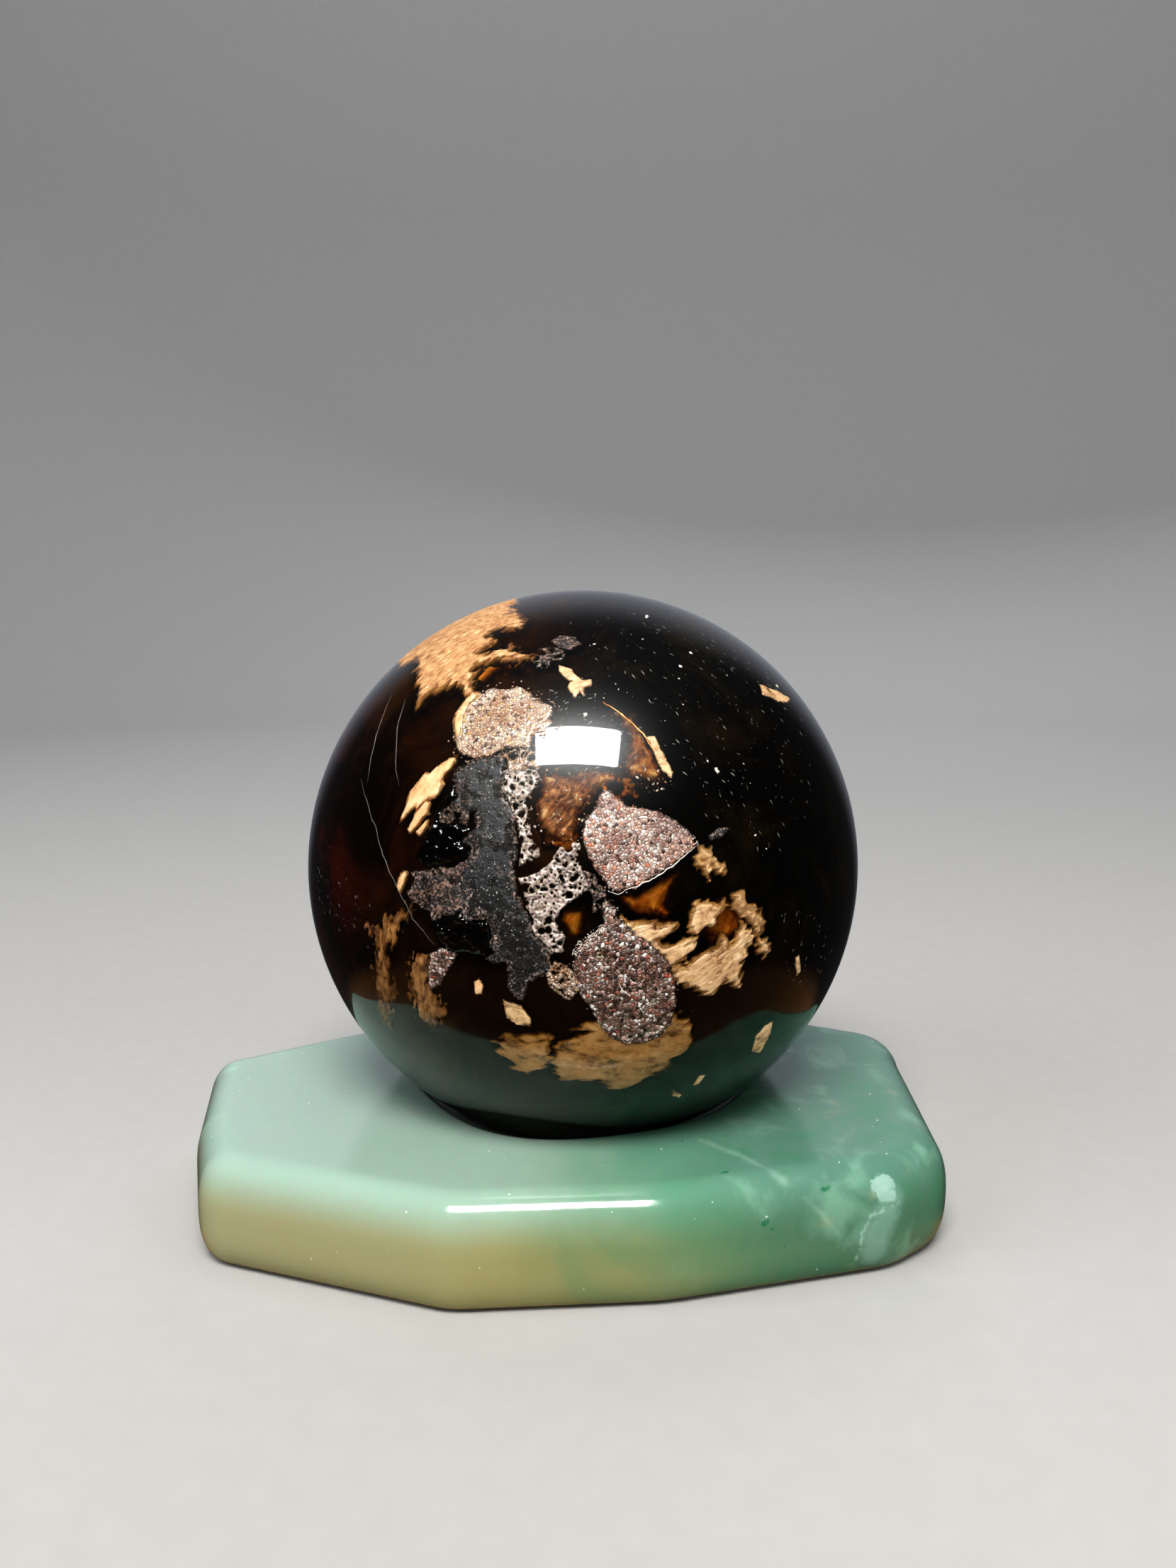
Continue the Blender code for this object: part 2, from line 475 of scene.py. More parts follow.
def past_limb(x, y, degrees):
    """A direction over the ball's horizon: the limb nearest a pixel, carried round the back."""
    seen = ball_directions((x, y))
    sideways = unit(seen - (seen @ EYE_WAY) * EYE_WAY)
    turn = LIMB_TURN + math.radians(degrees)
    return EYE_WAY * math.cos(turn) + sideways * math.sin(turn)


def chart_axes(directions):
    """Right, up and outward axes of a chart, taken at the middle of a set of directions."""
    middle = unit(np.mean(directions, axis=0))
    steady = (0.0, 1.0, 0.0) if abs(middle[2]) > 0.95 else (0.0, 0.0, 1.0)
    right = unit(np.cross(steady, middle))
    return np.stack([right, np.cross(middle, right), middle])


def to_chart(axes, directions):
    """Polar map: a direction's bearing from the middle is kept, and its arc becomes its distance."""
    flat = directions @ axes[:2].T
    reach = np.linalg.norm(flat, axis=-1)
    arc = np.arctan2(reach, directions @ axes[2]) * RADIUS
    return flat * (arc / np.maximum(reach, 1e-12))[..., None]


def from_chart(axes, chart):
    """The direction that a chart point stands for, by undoing the polar map."""
    arc = np.linalg.norm(chart, axis=-1, keepdims=True)
    return chart @ axes[:2] / np.maximum(arc, 1e-12) * np.sin(arc / RADIUS) + axes[2] * np.cos(arc / RADIUS)


def outline_distance(chart, outline):
    """Distance to the nearest side, positive inside, where a line to the right crosses an odd count."""
    nearest = np.full(chart.shape[:-1], np.inf)
    inside = np.zeros(chart.shape[:-1], bool)
    for start, end in zip(outline, np.roll(outline, -1, axis=0)):
        side = end - start
        away = chart - start
        share = np.clip(away @ side / max(side @ side, 1e-18), 0, 1)
        nearest = np.minimum(nearest, np.linalg.norm(away - share[..., None] * side, axis=-1))
        crosses = (start[1] > chart[..., 1]) != (end[1] > chart[..., 1])
        level = side[1] if abs(side[1]) > 1e-15 else 1e-15
        inside ^= crosses & (chart[..., 0] < start[0] + side[0] * (chart[..., 1] - start[1]) / level)
    return np.where(inside, nearest, -nearest)


print("the ball's horizon is %.1f degrees round from the camera" % math.degrees(LIMB_TURN))

# %% [markdown]
# Grid points close to the field's zero line are slid on to it, so the rim is a smooth curve and not a
# staircase. The cells inside are kept twice, as a top and a bottom, and a wall joins the two.

# %% The rim of a plate
GRID = 0.00017
SNAP_SHARE = 0.6
SLIDE_LIMIT = 0.7
FLATTEST = 0.1


def snapped(chart, field, grid):
    """Chart points near the zero line moved on to it, down the field's slope, and the field there."""
    rise_y, rise_x = np.gradient(field, grid)
    steep = rise_x**2 + rise_y**2 + FLATTEST
    near = np.abs(field) < SNAP_SHARE * grid * np.sqrt(steep)
    slide = np.clip(np.where(near, field / steep, 0), -SLIDE_LIMIT * grid, SLIDE_LIMIT * grid)
    return chart - np.stack([slide * rise_x, slide * rise_y], -1), np.where(near, 0, field)


def rim_and_skins(keep):
    """Quads of the top, the bottom and the wall for a grid of kept cells, and which grid points they use."""
    used = np.zeros(np.add(keep.shape, 1), bool)
    for rows in (slice(None, -1), slice(1, None)):
        for columns in (slice(None, -1), slice(1, None)):
            used[rows, columns] |= keep
    number = (np.cumsum(used) - 1).reshape(used.shape)
    count = int(used.sum())
    corner = [number[:-1, :-1], number[:-1, 1:], number[1:, 1:], number[1:, :-1]]
    padded = np.pad(keep, 1)
    beside = [padded[:-2, 1:-1], padded[1:-1, 2:], padded[2:, 1:-1], padded[1:-1, :-2]]
    skins = np.stack([index[keep] for index in corner], -1)
    quads = [skins, skins[:, ::-1] + count]
    for side in range(4):
        open_side = keep & ~beside[side]
        start = corner[side][open_side]
        end = corner[(side + 1) % 4][open_side]
        quads.append(np.stack([start + count, end + count, end, start], -1))
    return np.concatenate(quads), used


print("a plate of one cell has", len(rim_and_skins(np.ones((1, 1), bool))[0]), "quads")

# %% [markdown]
# The plate itself. The top's height comes from a function of the distance in from the rim and of the place.
# A flat patch with a bump map would be less work, but its pits would have no depth and its edge no
# thickness.

# %% The plate of an inclusion
COMB_DRAW = 0.88
SKIRT_VARY = 0.6
SKIRT_VARY_SIZE = 1.3 * MM


def inlay(name, outline, finish, top, floor, ragged, cut=None, grid=GRID, skirt=(0.0, 1.0), comb=None):
    """A plate on the ball: field = distance in from the outline + noise; height = top(field, place).

    Ragged is the size of the noise and how far it moves the rim, in mm, and a seed. A skirt carries the top
    on outside the outline, down into the resin: its width in mm, then its slope. A comb pulls the rim out
    into bristles: the way they point, their width and their length in mm.
    """
    outline = np.asarray(outline)
    axes = chart_axes(outline)
    edge = to_chart(axes, outline)
    size, strength, seed = ragged[0] * MM, ragged[1] * MM, ragged[2]
    wide = skirt[0] * MM
    reach = strength * 1.5 + 3 * grid + wide + (comb[2] * MM if comb else 0)
    spans = [np.arange(edge[:, k].min() - reach, edge[:, k].max() + reach, grid) for k in (0, 1)]
    chart = np.stack(np.meshgrid(*spans), -1)
    skin = CENTRE + from_chart(axes, chart) * RADIUS
    field = outline_distance(chart, edge) + strength * rough_noise(skin, size, seed)
    if comb is not None:
        drawn_out = skin - COMB_DRAW * (skin @ unit(comb[0]))[..., None] * unit(comb[0])
        field = field + comb[2] * MM * smooth_noise(drawn_out, comb[1] * MM, seed + 3)
    if cut is not None:
        field = np.minimum(field, cut(skin))
    chart, field = snapped(chart, field + wide, grid)
    inner = field >= 0
    keep = inner[:-1, :-1] & inner[1:, :-1] & inner[:-1, 1:] & inner[1:, 1:]
    quads, used = rim_and_skins(keep)
    field = field[used] - wide
    way = from_chart(axes, chart[used])
    skin = CENTRE + way * RADIUS
    slope = skirt[1] * (1 + SKIRT_VARY * smooth_noise(skin, SKIRT_VARY_SIZE, seed + 5))
    height = top(field, skin) - slope * np.maximum(-field, 0)
    floor_height = height - floor(field + wide)
    points = np.concatenate([skin + way * height[:, None], skin + way * floor_height[:, None]])
    values = {"edge": np.tile(field / MM, 2), "level": np.concatenate([height, floor_height]) / MM}
    return make_piece(name, points, quads, finish, values=values)


print("usual grid of a plate: %.2f mm" % (GRID / MM))

# %% [markdown]
# Most inclusions have a top that is flush with the polish or sunken under it, and a floor that falls from
# the rim like a bowl. Each helper makes a function, so a plate is told its shape in one short call.

# %% Tops and floors
FLOOR_LEAST = 0.15
SUNKEN_LEAST = 0.05


def on_ball(*numbers):
    """An outline on the ball from points read in the photograph, as x, y, x, y and so on."""
    return ball_directions(np.reshape(numbers, (-1, 2)))


def flush(proud, lap, width, bumps=0.02, size=0.6, seed=5):
    """A top that stands a hair proud of the polish, sinks under it at the rim, and has low bumps. In mm."""

    def top(field, skin):
        rise = ramp(field, 0, width * MM)
        return (proud - lap * (1 - rise)) * MM + rise * bumps * MM * rough_noise(skin, size * MM, seed)

    return top


def sunken(depth, vary, size, seed, edge_drop, edge_width=0.8):
    """A top that lies under the skin of the amber, rolling up and down, and falls away at its rim. In mm."""

    def top(field, skin):
        away = 1 - ramp(field, 0, edge_width * MM)
        wave = rough_noise(skin, size * MM, seed)
        return -MM * np.maximum(depth + vary * wave + edge_drop * away, SUNKEN_LEAST)

    return top


def bowl(deepest):
    """A floor that falls from the rim one to one, down to a greatest depth in mm."""
    return lambda field: np.minimum(FLOOR_LEAST * MM + field, deepest * MM)


print("a bowl is %.2f mm deep a millimetre in" % (bowl(2.0)(MM) / MM))

# %% [markdown]
# ## Threads and crumbs
#
# Thin things need less: a crack or a curled sliver is a flattened tube carried along a path on the ball. A
# curve with a bevel could do it, but a mesh follows the ball exactly and tapers by a formula.

# %% Threads along a path
TUBE_SIDES = 8
TUBE_ENDS = 0.004


def path_on_ball(directions, count):
    """Points spread evenly along great arcs between directions."""
    directions = np.asarray(directions)
    reach = np.concatenate([[0], np.cumsum(np.linalg.norm(np.diff(directions, axis=0), axis=1))])
    at = np.linspace(0, reach[-1], count)
    return unit(np.stack([np.interp(at, reach, directions[:, k]) for k in range(3)], -1))


def thread(name, directions, finish, width, thick, lift, wander, count, seed):
    """A flattened tube: an oval carried along a path, tapering to nothing at both ends. Sizes in mm."""
    way = path_on_ball(directions, count)
    along = unit(np.gradient(way, axis=0))
    across = np.cross(way, along)
    share = np.linspace(0, 1, count)
    skin = CENTRE + way * RADIUS
    skin = skin + across * (wander * MM * rough_noise(skin, 1.2 * MM, seed))[:, None]
    half = width / 2 * MM * np.sin(math.pi * np.clip(share, TUBE_ENDS, 1 - TUBE_ENDS)) ** 0.5
    half = half * (1 + 0.5 * rough_noise(skin, 0.8 * MM, seed + 1))
    turn = np.linspace(0, 2 * math.pi, TUBE_SIDES, endpoint=False)
    wide = np.cos(turn)[None, :, None] * across[:, None, :] * half[:, None, None]
    tall = np.sin(turn)[None, :, None] * way[:, None, :] * half[:, None, None] * thick
    points = skin[:, None, :] + way[:, None, :] * lift * MM + wide + tall
    points = np.concatenate([points.reshape(-1, 3), points[[0, -1]].mean(axis=1)])
    return make_piece(name, points, closed_round(count, TUBE_SIDES, flip=True), finish)


print("a thread's tube has", TUBE_SIDES, "sides")

# %% [markdown]
# Loose grains are tiny faceted stones scattered over a region. Instances of one stone would all look alike,
# so the six tips of every stone are drawn at random, in one go for the whole swarm.

# %% Scattered crumbs
STONE_FACES = ((0, 1, 4), (1, 2, 4), (2, 3, 4), (3, 0, 4), (1, 0, 5), (2, 1, 5), (3, 2, 5), (0, 3, 5))
SHORTEST_TIP = 0.6
FLOW_STRAY = 0.35


def crumbs(name, directions, finish, sizes, squash, lift, seed, longer=1.0, flow=None):
    """Loose grains: every grain is a turned eight-faced stone, flattened against the ball. Sizes in mm.

    Grains can be made longer than they are wide, and then turned to lie roughly along a flow.
    """
    draw = np.random.default_rng(seed)
    directions = np.asarray(directions)
    count = len(directions)
    aim = draw.normal(size=(count, 3)) * (1.0 if flow is None else FLOW_STRAY)
    right = unit(np.cross(directions, aim + (0 if flow is None else np.cross(flow, directions))))
    up = np.cross(directions, right)
    half = np.broadcast_to(np.asarray(sizes, float), count) / 2 * MM
    stretch = draw.uniform(SHORTEST_TIP, 1.0, (count, 6))
    tips = [right * longer, up, -right * longer, -up, directions * squash, -directions * squash]
    tips = np.stack(tips, 1) * (half[:, None] * stretch)[..., None]
    points = (CENTRE + directions * (RADIUS + lift * MM))[:, None, :] + tips
    faces = (np.arange(count)[:, None, None] * 6 + np.array(STONE_FACES)).reshape(-1, 3)
    piece = make_piece(name, points.reshape(-1, 3), faces, finish)
    piece.data.shade_flat()
    return piece


def scatter(outline, count, seed, spread=0.0):
    """Random directions inside an outline on the ball, or up to a distance in mm outside it."""
    draw = np.random.default_rng(seed)
    outline = np.asarray(outline)
    axes = chart_axes(outline)
    edge = to_chart(axes, outline)
    room = edge.min(axis=0) - spread * MM, edge.max(axis=0) + spread * MM
    chart = draw.uniform(*room, (count * 6, 2))
    chart = chart[outline_distance(chart, edge) > -spread * MM][:count]
    return from_chart(axes, chart)


def scatter_sizes(count, seed, least, more, power=2):
    """Random sizes in mm, from the least up, with few of the large ones."""
    return least + more * np.random.default_rng(seed).random(count) ** power


print("a loose grain has", len(STONE_FACES), "faces")

# %% [markdown]
# ## The stone base
#
# The base is a sawn and tumbled slab with eleven soft corners. Its plan is drawn first, as straight sides
# joined by arcs, each corner with its own radius. It is read off at even bearings from the ball's axis,
# because then the plan, the sides and the round bowl can share one grid.

# %% The base's plan
BASE_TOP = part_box("stone_base")[1][2]
SLAB_CORNERS = (
    (-0.0576, 0.0022, 0.0050),
    (-0.0531, -0.0190, 0.0080),
    (-0.0482, -0.0334, 0.0070),
    (-0.0160, -0.0447, 0.0120),
    (0.0100, -0.0428, 0.0300),
    (0.0393, -0.0350, 0.0140),
    (0.0482, -0.0280, 0.0120),
    (0.0504, 0.0062, 0.0080),
    (0.0515, 0.0147, 0.0080),
    (0.0132, 0.0332, 0.0140),
    (-0.0119, 0.0335, 0.0140),
)
BASE_AROUND = 720
ARC_POINTS = 15
ARC_INSET = 0.00003


def slab_outline(corners, bearings):
    """Straight sides joined by arcs, read off at each bearing from the ball's axis."""
    line = []
    for i, (x, y, radius) in enumerate(corners):
        here = np.array((x, y))
        before = unit(np.array(corners[i - 1][:2]) - here)
        after = unit(np.array(corners[(i + 1) % len(corners)][:2]) - here)
        half = math.acos(float(before @ after)) / 2
        centre = here + unit(before + after) * radius / math.sin(half)
        start = here + before * radius / math.tan(half) - centre
        end = here + after * radius / math.tan(half) - centre
        share = np.linspace(0, 1, ARC_POINTS)[:, None]
        line.append(centre + unit(start + (end - start) * share) * radius)
    line = np.concatenate(line)
    found = np.arctan2(line[:, 1], line[:, 0])
    x = np.interp(bearings, found, line[:, 0], period=2 * math.pi)
    y = np.interp(bearings, found, line[:, 1], period=2 * math.pi)
    return np.stack([x, y], -1)


def inset(line, distance):
    """Each point moved inwards along the line's normal."""
    along = unit(np.roll(line, -1, axis=0) - np.roll(line, 1, axis=0))
    return line + np.stack([-along[:, 1], along[:, 0]], -1) * np.broadcast_to(distance, len(line))[:, None]


angles = np.linspace(-math.pi, math.pi, BASE_AROUND, endpoint=False)
outline = inset(slab_outline(SLAB_CORNERS, angles), ARC_INSET)
print("slab plan: %.1f by %.1f mm" % tuple(np.ptp(outline, axis=0) / MM))

# %% [markdown]
# The plan is carried up a side that bulges a little, over a rounded top edge and down into the bowl for the
# ball. On the front left the bowl is worn wider, so a black gap shows there. A Boolean cut would leave a
# sharp rim, and rings let it be rounded by a formula.

# %% Rings of the base
BOWL_RADIUS = SOLID_RADIUS + 0.0004
FLOOR_BELOW = SOLID_RADIUS
RIM_ROUND = 0.0005
RIM_SPREAD = 0.0008
SCOOP_BEARING = math.radians(-111)
SCOOP_HALF_WIDTH = math.radians(40)
SCOOP_REACH = 0.0019
UNDER_INSET = 0.0026
UNDER_POWER = 1.2
TOP_INSET = 0.0046
TOP_POWER = 1.3
SOFTER_RIGHT = 0.5
WIDEST_SHARE = 0.42


def base_rings():
    """Rings from the middle of the underside, up the bulging side, over the top, and down the bowl."""
    around = np.stack([np.cos(angles), np.sin(angles)], -1)
    softer = 1 + SOFTER_RIGHT * np.clip(outline[:, 0] / np.abs(outline[:, 0]).max(), 0, 1) ** 2
    under = inset(outline, UNDER_INSET)
    rings = [(under * share, 0.0) for share in np.linspace(0.1, 0.95, 8)]
    for turn in np.linspace(0, math.pi / 2, 14):
        line = inset(outline, UNDER_INSET * (1 - math.sin(turn)) ** UNDER_POWER)
        rings.append((line, BASE_TOP * WIDEST_SHARE * (1 - math.cos(turn))))
    for turn in np.linspace(0, math.pi / 2, 36)[1:]:
        line = inset(outline, TOP_INSET * (1 - math.cos(turn)) ** TOP_POWER * softer)
        rings.append((line, BASE_TOP * (WIDEST_SHARE + (1 - WIDEST_SHARE) * math.sin(turn))))
    rim_below = CENTRE[2] - BASE_TOP + RIM_ROUND
    rim_radius = math.sqrt(BOWL_RADIUS**2 - rim_below**2)
    floor_radius = math.sqrt(BOWL_RADIUS**2 - FLOOR_BELOW**2)
    away = np.abs((angles - SCOOP_BEARING + math.pi) % (2 * math.pi) - math.pi)
    worn = SCOOP_REACH * np.cos(np.clip(away / SCOOP_HALF_WIDTH, 0, 1) * math.pi / 2) ** 2
    top_line = rings[-1][0]
    rim_line = around * (rim_radius + RIM_SPREAD + worn)[:, None]
    rings += [(top_line + (rim_line - top_line) * share, BASE_TOP) for share in np.linspace(0, 1, 24)[1:-1]]
    for turn in np.linspace(0, math.pi / 2, 8)[:-1]:
        reach = rim_radius + worn + RIM_SPREAD * (1 - math.sin(turn))
        rings.append((around * reach[:, None], BASE_TOP - RIM_ROUND * (1 - math.cos(turn))))
    for turn in np.linspace(math.asin(rim_radius / BOWL_RADIUS), math.asin(floor_radius / BOWL_RADIUS), 16):
        radius = BOWL_RADIUS * math.sin(turn)
        share = (radius - floor_radius) / (rim_radius - floor_radius)
        rings.append((around * (radius + worn * share**2)[:, None], CENTRE[2] - BOWL_RADIUS * math.cos(turn)))
    return rings


rings = base_rings()
base_points = np.array([np.column_stack([line, np.full(BASE_AROUND, height)]) for line, height in rings])
poles = [(0, 0, rings[0][1]), (0, 0, rings[-1][1])]
base_points = np.concatenate([base_points.reshape(-1, 3), poles])
base_points[:, :2] += CENTRE[:2]
stone, tree, shader, place = new_finish(
    "green_stone", Roughness=0.13, IOR=1.54, Subsurface_Weight=0.8, Subsurface_Scale=0.006,
    Coat_Weight=0.4, Coat_Roughness=0.04,
)
slab_faces = closed_round(len(rings), BASE_AROUND, flip=True)
base = make_piece("stone_slab", base_points, slab_faces, stone)
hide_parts("stone_base")
bpy.context.view_layer.update()
print("stone base:", len(rings), "rings and", len(base.data.polygons), "faces")

# %% [markdown]
# ## Marks in the stone
#
# The stone has a few marks that are its own: two patches of white quartz at the right, pale veins, and dark
# green flecks. Each is a line of points on the slab's skin. Every point of the mesh keeps its distance to
# the nearest line, and the finish breaks that distance up with noise, so the marks stay crisp and ragged at
# any size.

# %% Distance from the marks


def on_slab(pixel):
    """The point of the slab that is seen at a pixel."""
    hit = base.ray_cast(Vector(EYE), Vector(pixel_rays(pixel)))
    return np.array(hit[1])


def distance_from(lines):
    """Millimetres from every point of the slab to the nearest line, less that line's half width."""
    best = np.full(len(base_points), 99.0)
    for half_width, pixels in lines:
        spots = np.array([on_slab(pixel) for pixel in pixels])
        for start, end in zip(spots, spots[1:] if len(spots) > 1 else spots):
            side = end - start
            share = np.clip((base_points - start) @ side / max(side @ side, 1e-18), 0, 1)
            away = np.linalg.norm(base_points - start - share[:, None] * side, axis=-1) / MM
            best = np.minimum(best, away - half_width)
    return best


QUARTZ = (
    (1.0, ((1240, 1672), (1250, 1668))), (0.7, ((1242, 1684), (1258, 1686))),
    (0.10, ((1267, 1697), (1248, 1706), (1230, 1714), (1222, 1730), (1216, 1742), (1209, 1776))),
)
HAZE = ((1.2, ((1252, 1712), (1240, 1736), (1232, 1766))), (0.6, ((1246, 1676), (1262, 1690))))
VEINS = (
    (-0.1, ((989, 1609), (1046, 1630), (1081, 1649), (1105, 1665))),
    (-0.5, ((1137, 1690), (1154, 1707), (1172, 1728))), (-0.6, ((1172, 1728), (1189, 1748))),
    (-0.4, ((1158, 1630), (1164, 1662))), (-0.8, ((1224, 1528), (1266, 1541))),
    (-0.9, ((1170, 1582), (1200, 1580))), (0.2, ((310, 1518), (330, 1508))),
)
FLECKS = (
    (0.25, ((1020, 1654), (1028, 1652))), (0.22, ((1160, 1680), (1170, 1673))),
    (0.28, ((1078, 1726), (1084, 1724))), (0.18, ((1125, 1770),)), (0.15, ((961, 1609),)),
    (0.15, ((853, 1640),)), (0.16, ((1212, 1611),)), (0.18, ((1089, 1734),)), (0.14, ((1107, 1757),)),
    (0.14, ((398, 1754),)),
)
for key, lines in (("quartz", QUARTZ), ("haze", HAZE), ("vein", VEINS), ("fleck", FLECKS)):
    layer = base.data.attributes.new(key, "FLOAT", "POINT")
    layer.data.foreach_set("value", distance_from(lines).astype(np.float32))
print("quartz covers", int((distance_from(QUARTZ) < 0).sum()), "points of the slab")

# %% [markdown]
# ## The base's finish
#
# The stone runs from cream at one end to a strong green at the other, and light passes a few millimetres
# into it. So its colour is a slow ramp along X bent by noise, cooler on the top than on the sides, under a
# glossy polish, and its shader scatters light below the skin.

# %% Colours and covers


def tone(red, green, blue):
    """Screen values from 0 to 255 turned into linear light, by the usual 2.2 power."""
    return tuple((value / 255) ** 2.2 for value in (red, green, blue))


def shade_ramp(tree, factor, stops):
    """A colour ramp whose stops are a position and three screen values."""
    return colour_ramp(tree, factor, [(position, tone(*shade)) for position, *shade in stops])


def math_node(tree, operation, first, second, third=None):
    """One sum on two or three values or sockets."""
    made = tree.nodes.new("ShaderNodeMath")
    made.operation = operation
    for socket, value in zip(made.inputs, (first, second, third)):
        if isinstance(value, bpy.types.NodeSocket):
            tree.links.new(value, socket)
        elif value is not None:
            socket.default_value = value
    return made.outputs[0]


def laid_over(tree, body, cover, share, colour):
    """Another colour over the body where a factor covers it, at most by a share."""
    return mix_colours(tree, math_node(tree, "MULTIPLY", cover, share), body, colour)


print("a screen value of 128 is %.3f of full light" % tone(128, 128, 128)[0])

# %% Green and cream stone
tree = stone.node_tree
shader = tree.nodes["Principled BSDF"]
place = tree.nodes["Texture Coordinate"].outputs["Object"]
shader.inputs["Subsurface Radius"].default_value = (0.5, 1.0, 0.7)
parts = add(tree, "SeparateXYZ", {}, Vector=place)
cloud = noise_at(tree, place, 0.024, 3.0, 0.5, 0.5)
drift = math_node(tree, "MULTIPLY_ADD", cloud, 0.040, parts.outputs["X"])
along_x = steps_between(tree, drift, -0.028, 0.062)
side_colour = shade_ramp(tree, along_x, (
    (0.00, 160, 158, 124), (0.35, 160, 156, 112), (0.58, 148, 150, 106), (0.80, 110, 142, 108),
    (1.00, 88, 126, 104),
))
top_colour = shade_ramp(tree, along_x, (
    (0.00, 156, 178, 168), (0.35, 150, 176, 162), (0.58, 140, 168, 152), (0.80, 102, 148, 126),
    (1.00, 98, 136, 122),
))
body = mix_colours(tree, steps_between(tree, parts.outputs["Z"], 0.0075, 0.0138), side_colour, top_colour)
right_end = steps_between(tree, parts.outputs["X"], 0.008, 0.026)
billow = noise_at(tree, place, 0.008, 4.0, 0.55, 0.4)
pale = math_node(tree, "MULTIPLY", steps_between(tree, billow, 0.50, 0.72), right_end)
body = laid_over(tree, body, pale, 0.4, tone(152, 196, 174))
deep = math_node(tree, "MULTIPLY", steps_between(tree, billow, 0.48, 0.32), right_end)
body = laid_over(tree, body, deep, 0.5, tone(78, 136, 104))
rust = math_node(tree, "MULTIPLY", steps_between(tree, noise_at(tree, place, 0.005, 3.0), 0.60, 0.75),
                 steps_between(tree, parts.outputs["X"], 0.018, 0.052))
body = laid_over(tree, body, rust, 0.45, tone(170, 160, 120))
print("stone: cream and green body")

# %% [markdown]
# The marks are laid over the body one by one, the faint veins first and the dark flecks last, and noise
# frays their edges.

# %% Veins, quartz and flecks
fray = noise_at(tree, place, 0.0009, 4.0, 0.7)
coarse = noise_at(tree, place, 0.0035, 3.0)
wobble = math_node(tree, "MULTIPLY_ADD", fray, 1.6, -0.8)
vein = steps_between(tree, math_node(tree, "MULTIPLY_ADD", coarse, 2.0, attribute(tree, "vein")), 2.1, 0.6)
body = laid_over(tree, body, vein, 0.34, tone(186, 218, 200))
haze = steps_between(tree, math_node(tree, "ADD", attribute(tree, "haze"), wobble), 1.6, -0.4)
body = laid_over(tree, body, haze, 0.38, tone(158, 194, 182))
quartz = steps_between(tree, math_node(tree, "ADD", attribute(tree, "quartz"), wobble), 0.22, -0.10)
quartz_body = mix_colours(tree, fray, tone(136, 178, 164), tone(200, 222, 216))
body = laid_over(tree, body, quartz, 0.65, quartz_body)
fleck = steps_between(tree, math_node(tree, "ADD", attribute(tree, "fleck"), wobble), 0.10, -0.15)
body = laid_over(tree, body, fleck, 0.75, tone(26, 108, 72))
print("stone: veins, haze, quartz and flecks")

# %% [markdown]
# Last come tiny bright specks in about one of twenty fine cells, a painted sparkle, and a very low relief
# that makes reflections waver as they do on a stone polished by hand.

# %% Painted sparkle and polish
sparkle_cells = cells_at(tree, place, 0.0011)
sparkle_parts = add(tree, "SeparateColor", {}, Color=sparkle_cells.outputs["Color"])
# Painted sparkle: white specks in the colour that stand for glints of light.
painted_sparkle = math_node(tree, "MULTIPLY", steps_between(tree, sparkle_parts.outputs["Red"], 0.955, 0.96),
                  steps_between(tree, sparkle_cells.outputs["Distance"], 0.16, 0.06))
body = laid_over(tree, body, painted_sparkle, 0.8, tone(240, 250, 246))
tree.links.new(body, shader.inputs["Base Color"])
relief(tree, shader, noise_at(tree, place, 0.0030, 3.0, 0.5), 0.00004)
print("stone finished with", len(tree.nodes), "nodes")

# %% [markdown]
# ## What grew into the amber
#
# Seven kinds of finish cover everything at the skin: packed sand, charcoal rock, a pale porous lace,
# fibrous tan crust, smooth cream crust, black glassy resin and white crumbs. Each is a few noises on Object
# coordinates. One helper turns round noise into fibres, and the other darkens a finish where the plate
# sinks under the skin: painted shade, standing for the shade and absorption of the resin over it.

# %% Fibres and depth


def stretched(tree, place, turn, longer):
    """Coordinates in which round blobs become fibres: some times longer along each axis, then turned."""
    made = add(tree, "Mapping", {"vector_type": "TEXTURE"}, Vector=place)
    made.inputs["Rotation"].default_value = [math.radians(angle) for angle in turn]
    made.inputs["Scale"].default_value = longer
    return made.outputs["Vector"]


def painted_depth_shade(tree, colour, start, end, deep):
    """A colour that fades to a dark resin tone between two depths of the plate's skin, in mm: painted shade
    and absorption of the resin over it.
    """
    return mix_colours(tree, steps_between(tree, attribute(tree, "level"), -start, -end), colour, deep)


print("helpers for fibres and for depth")

# %% [markdown]
# Sand is packed grains. A Voronoi texture gives one random colour for each cell and the distance to the
# wall between cells, so every grain gets its own tint, its own gloss and a dark gap around it.

# %% Sand
SAND_WARP = 0.00025


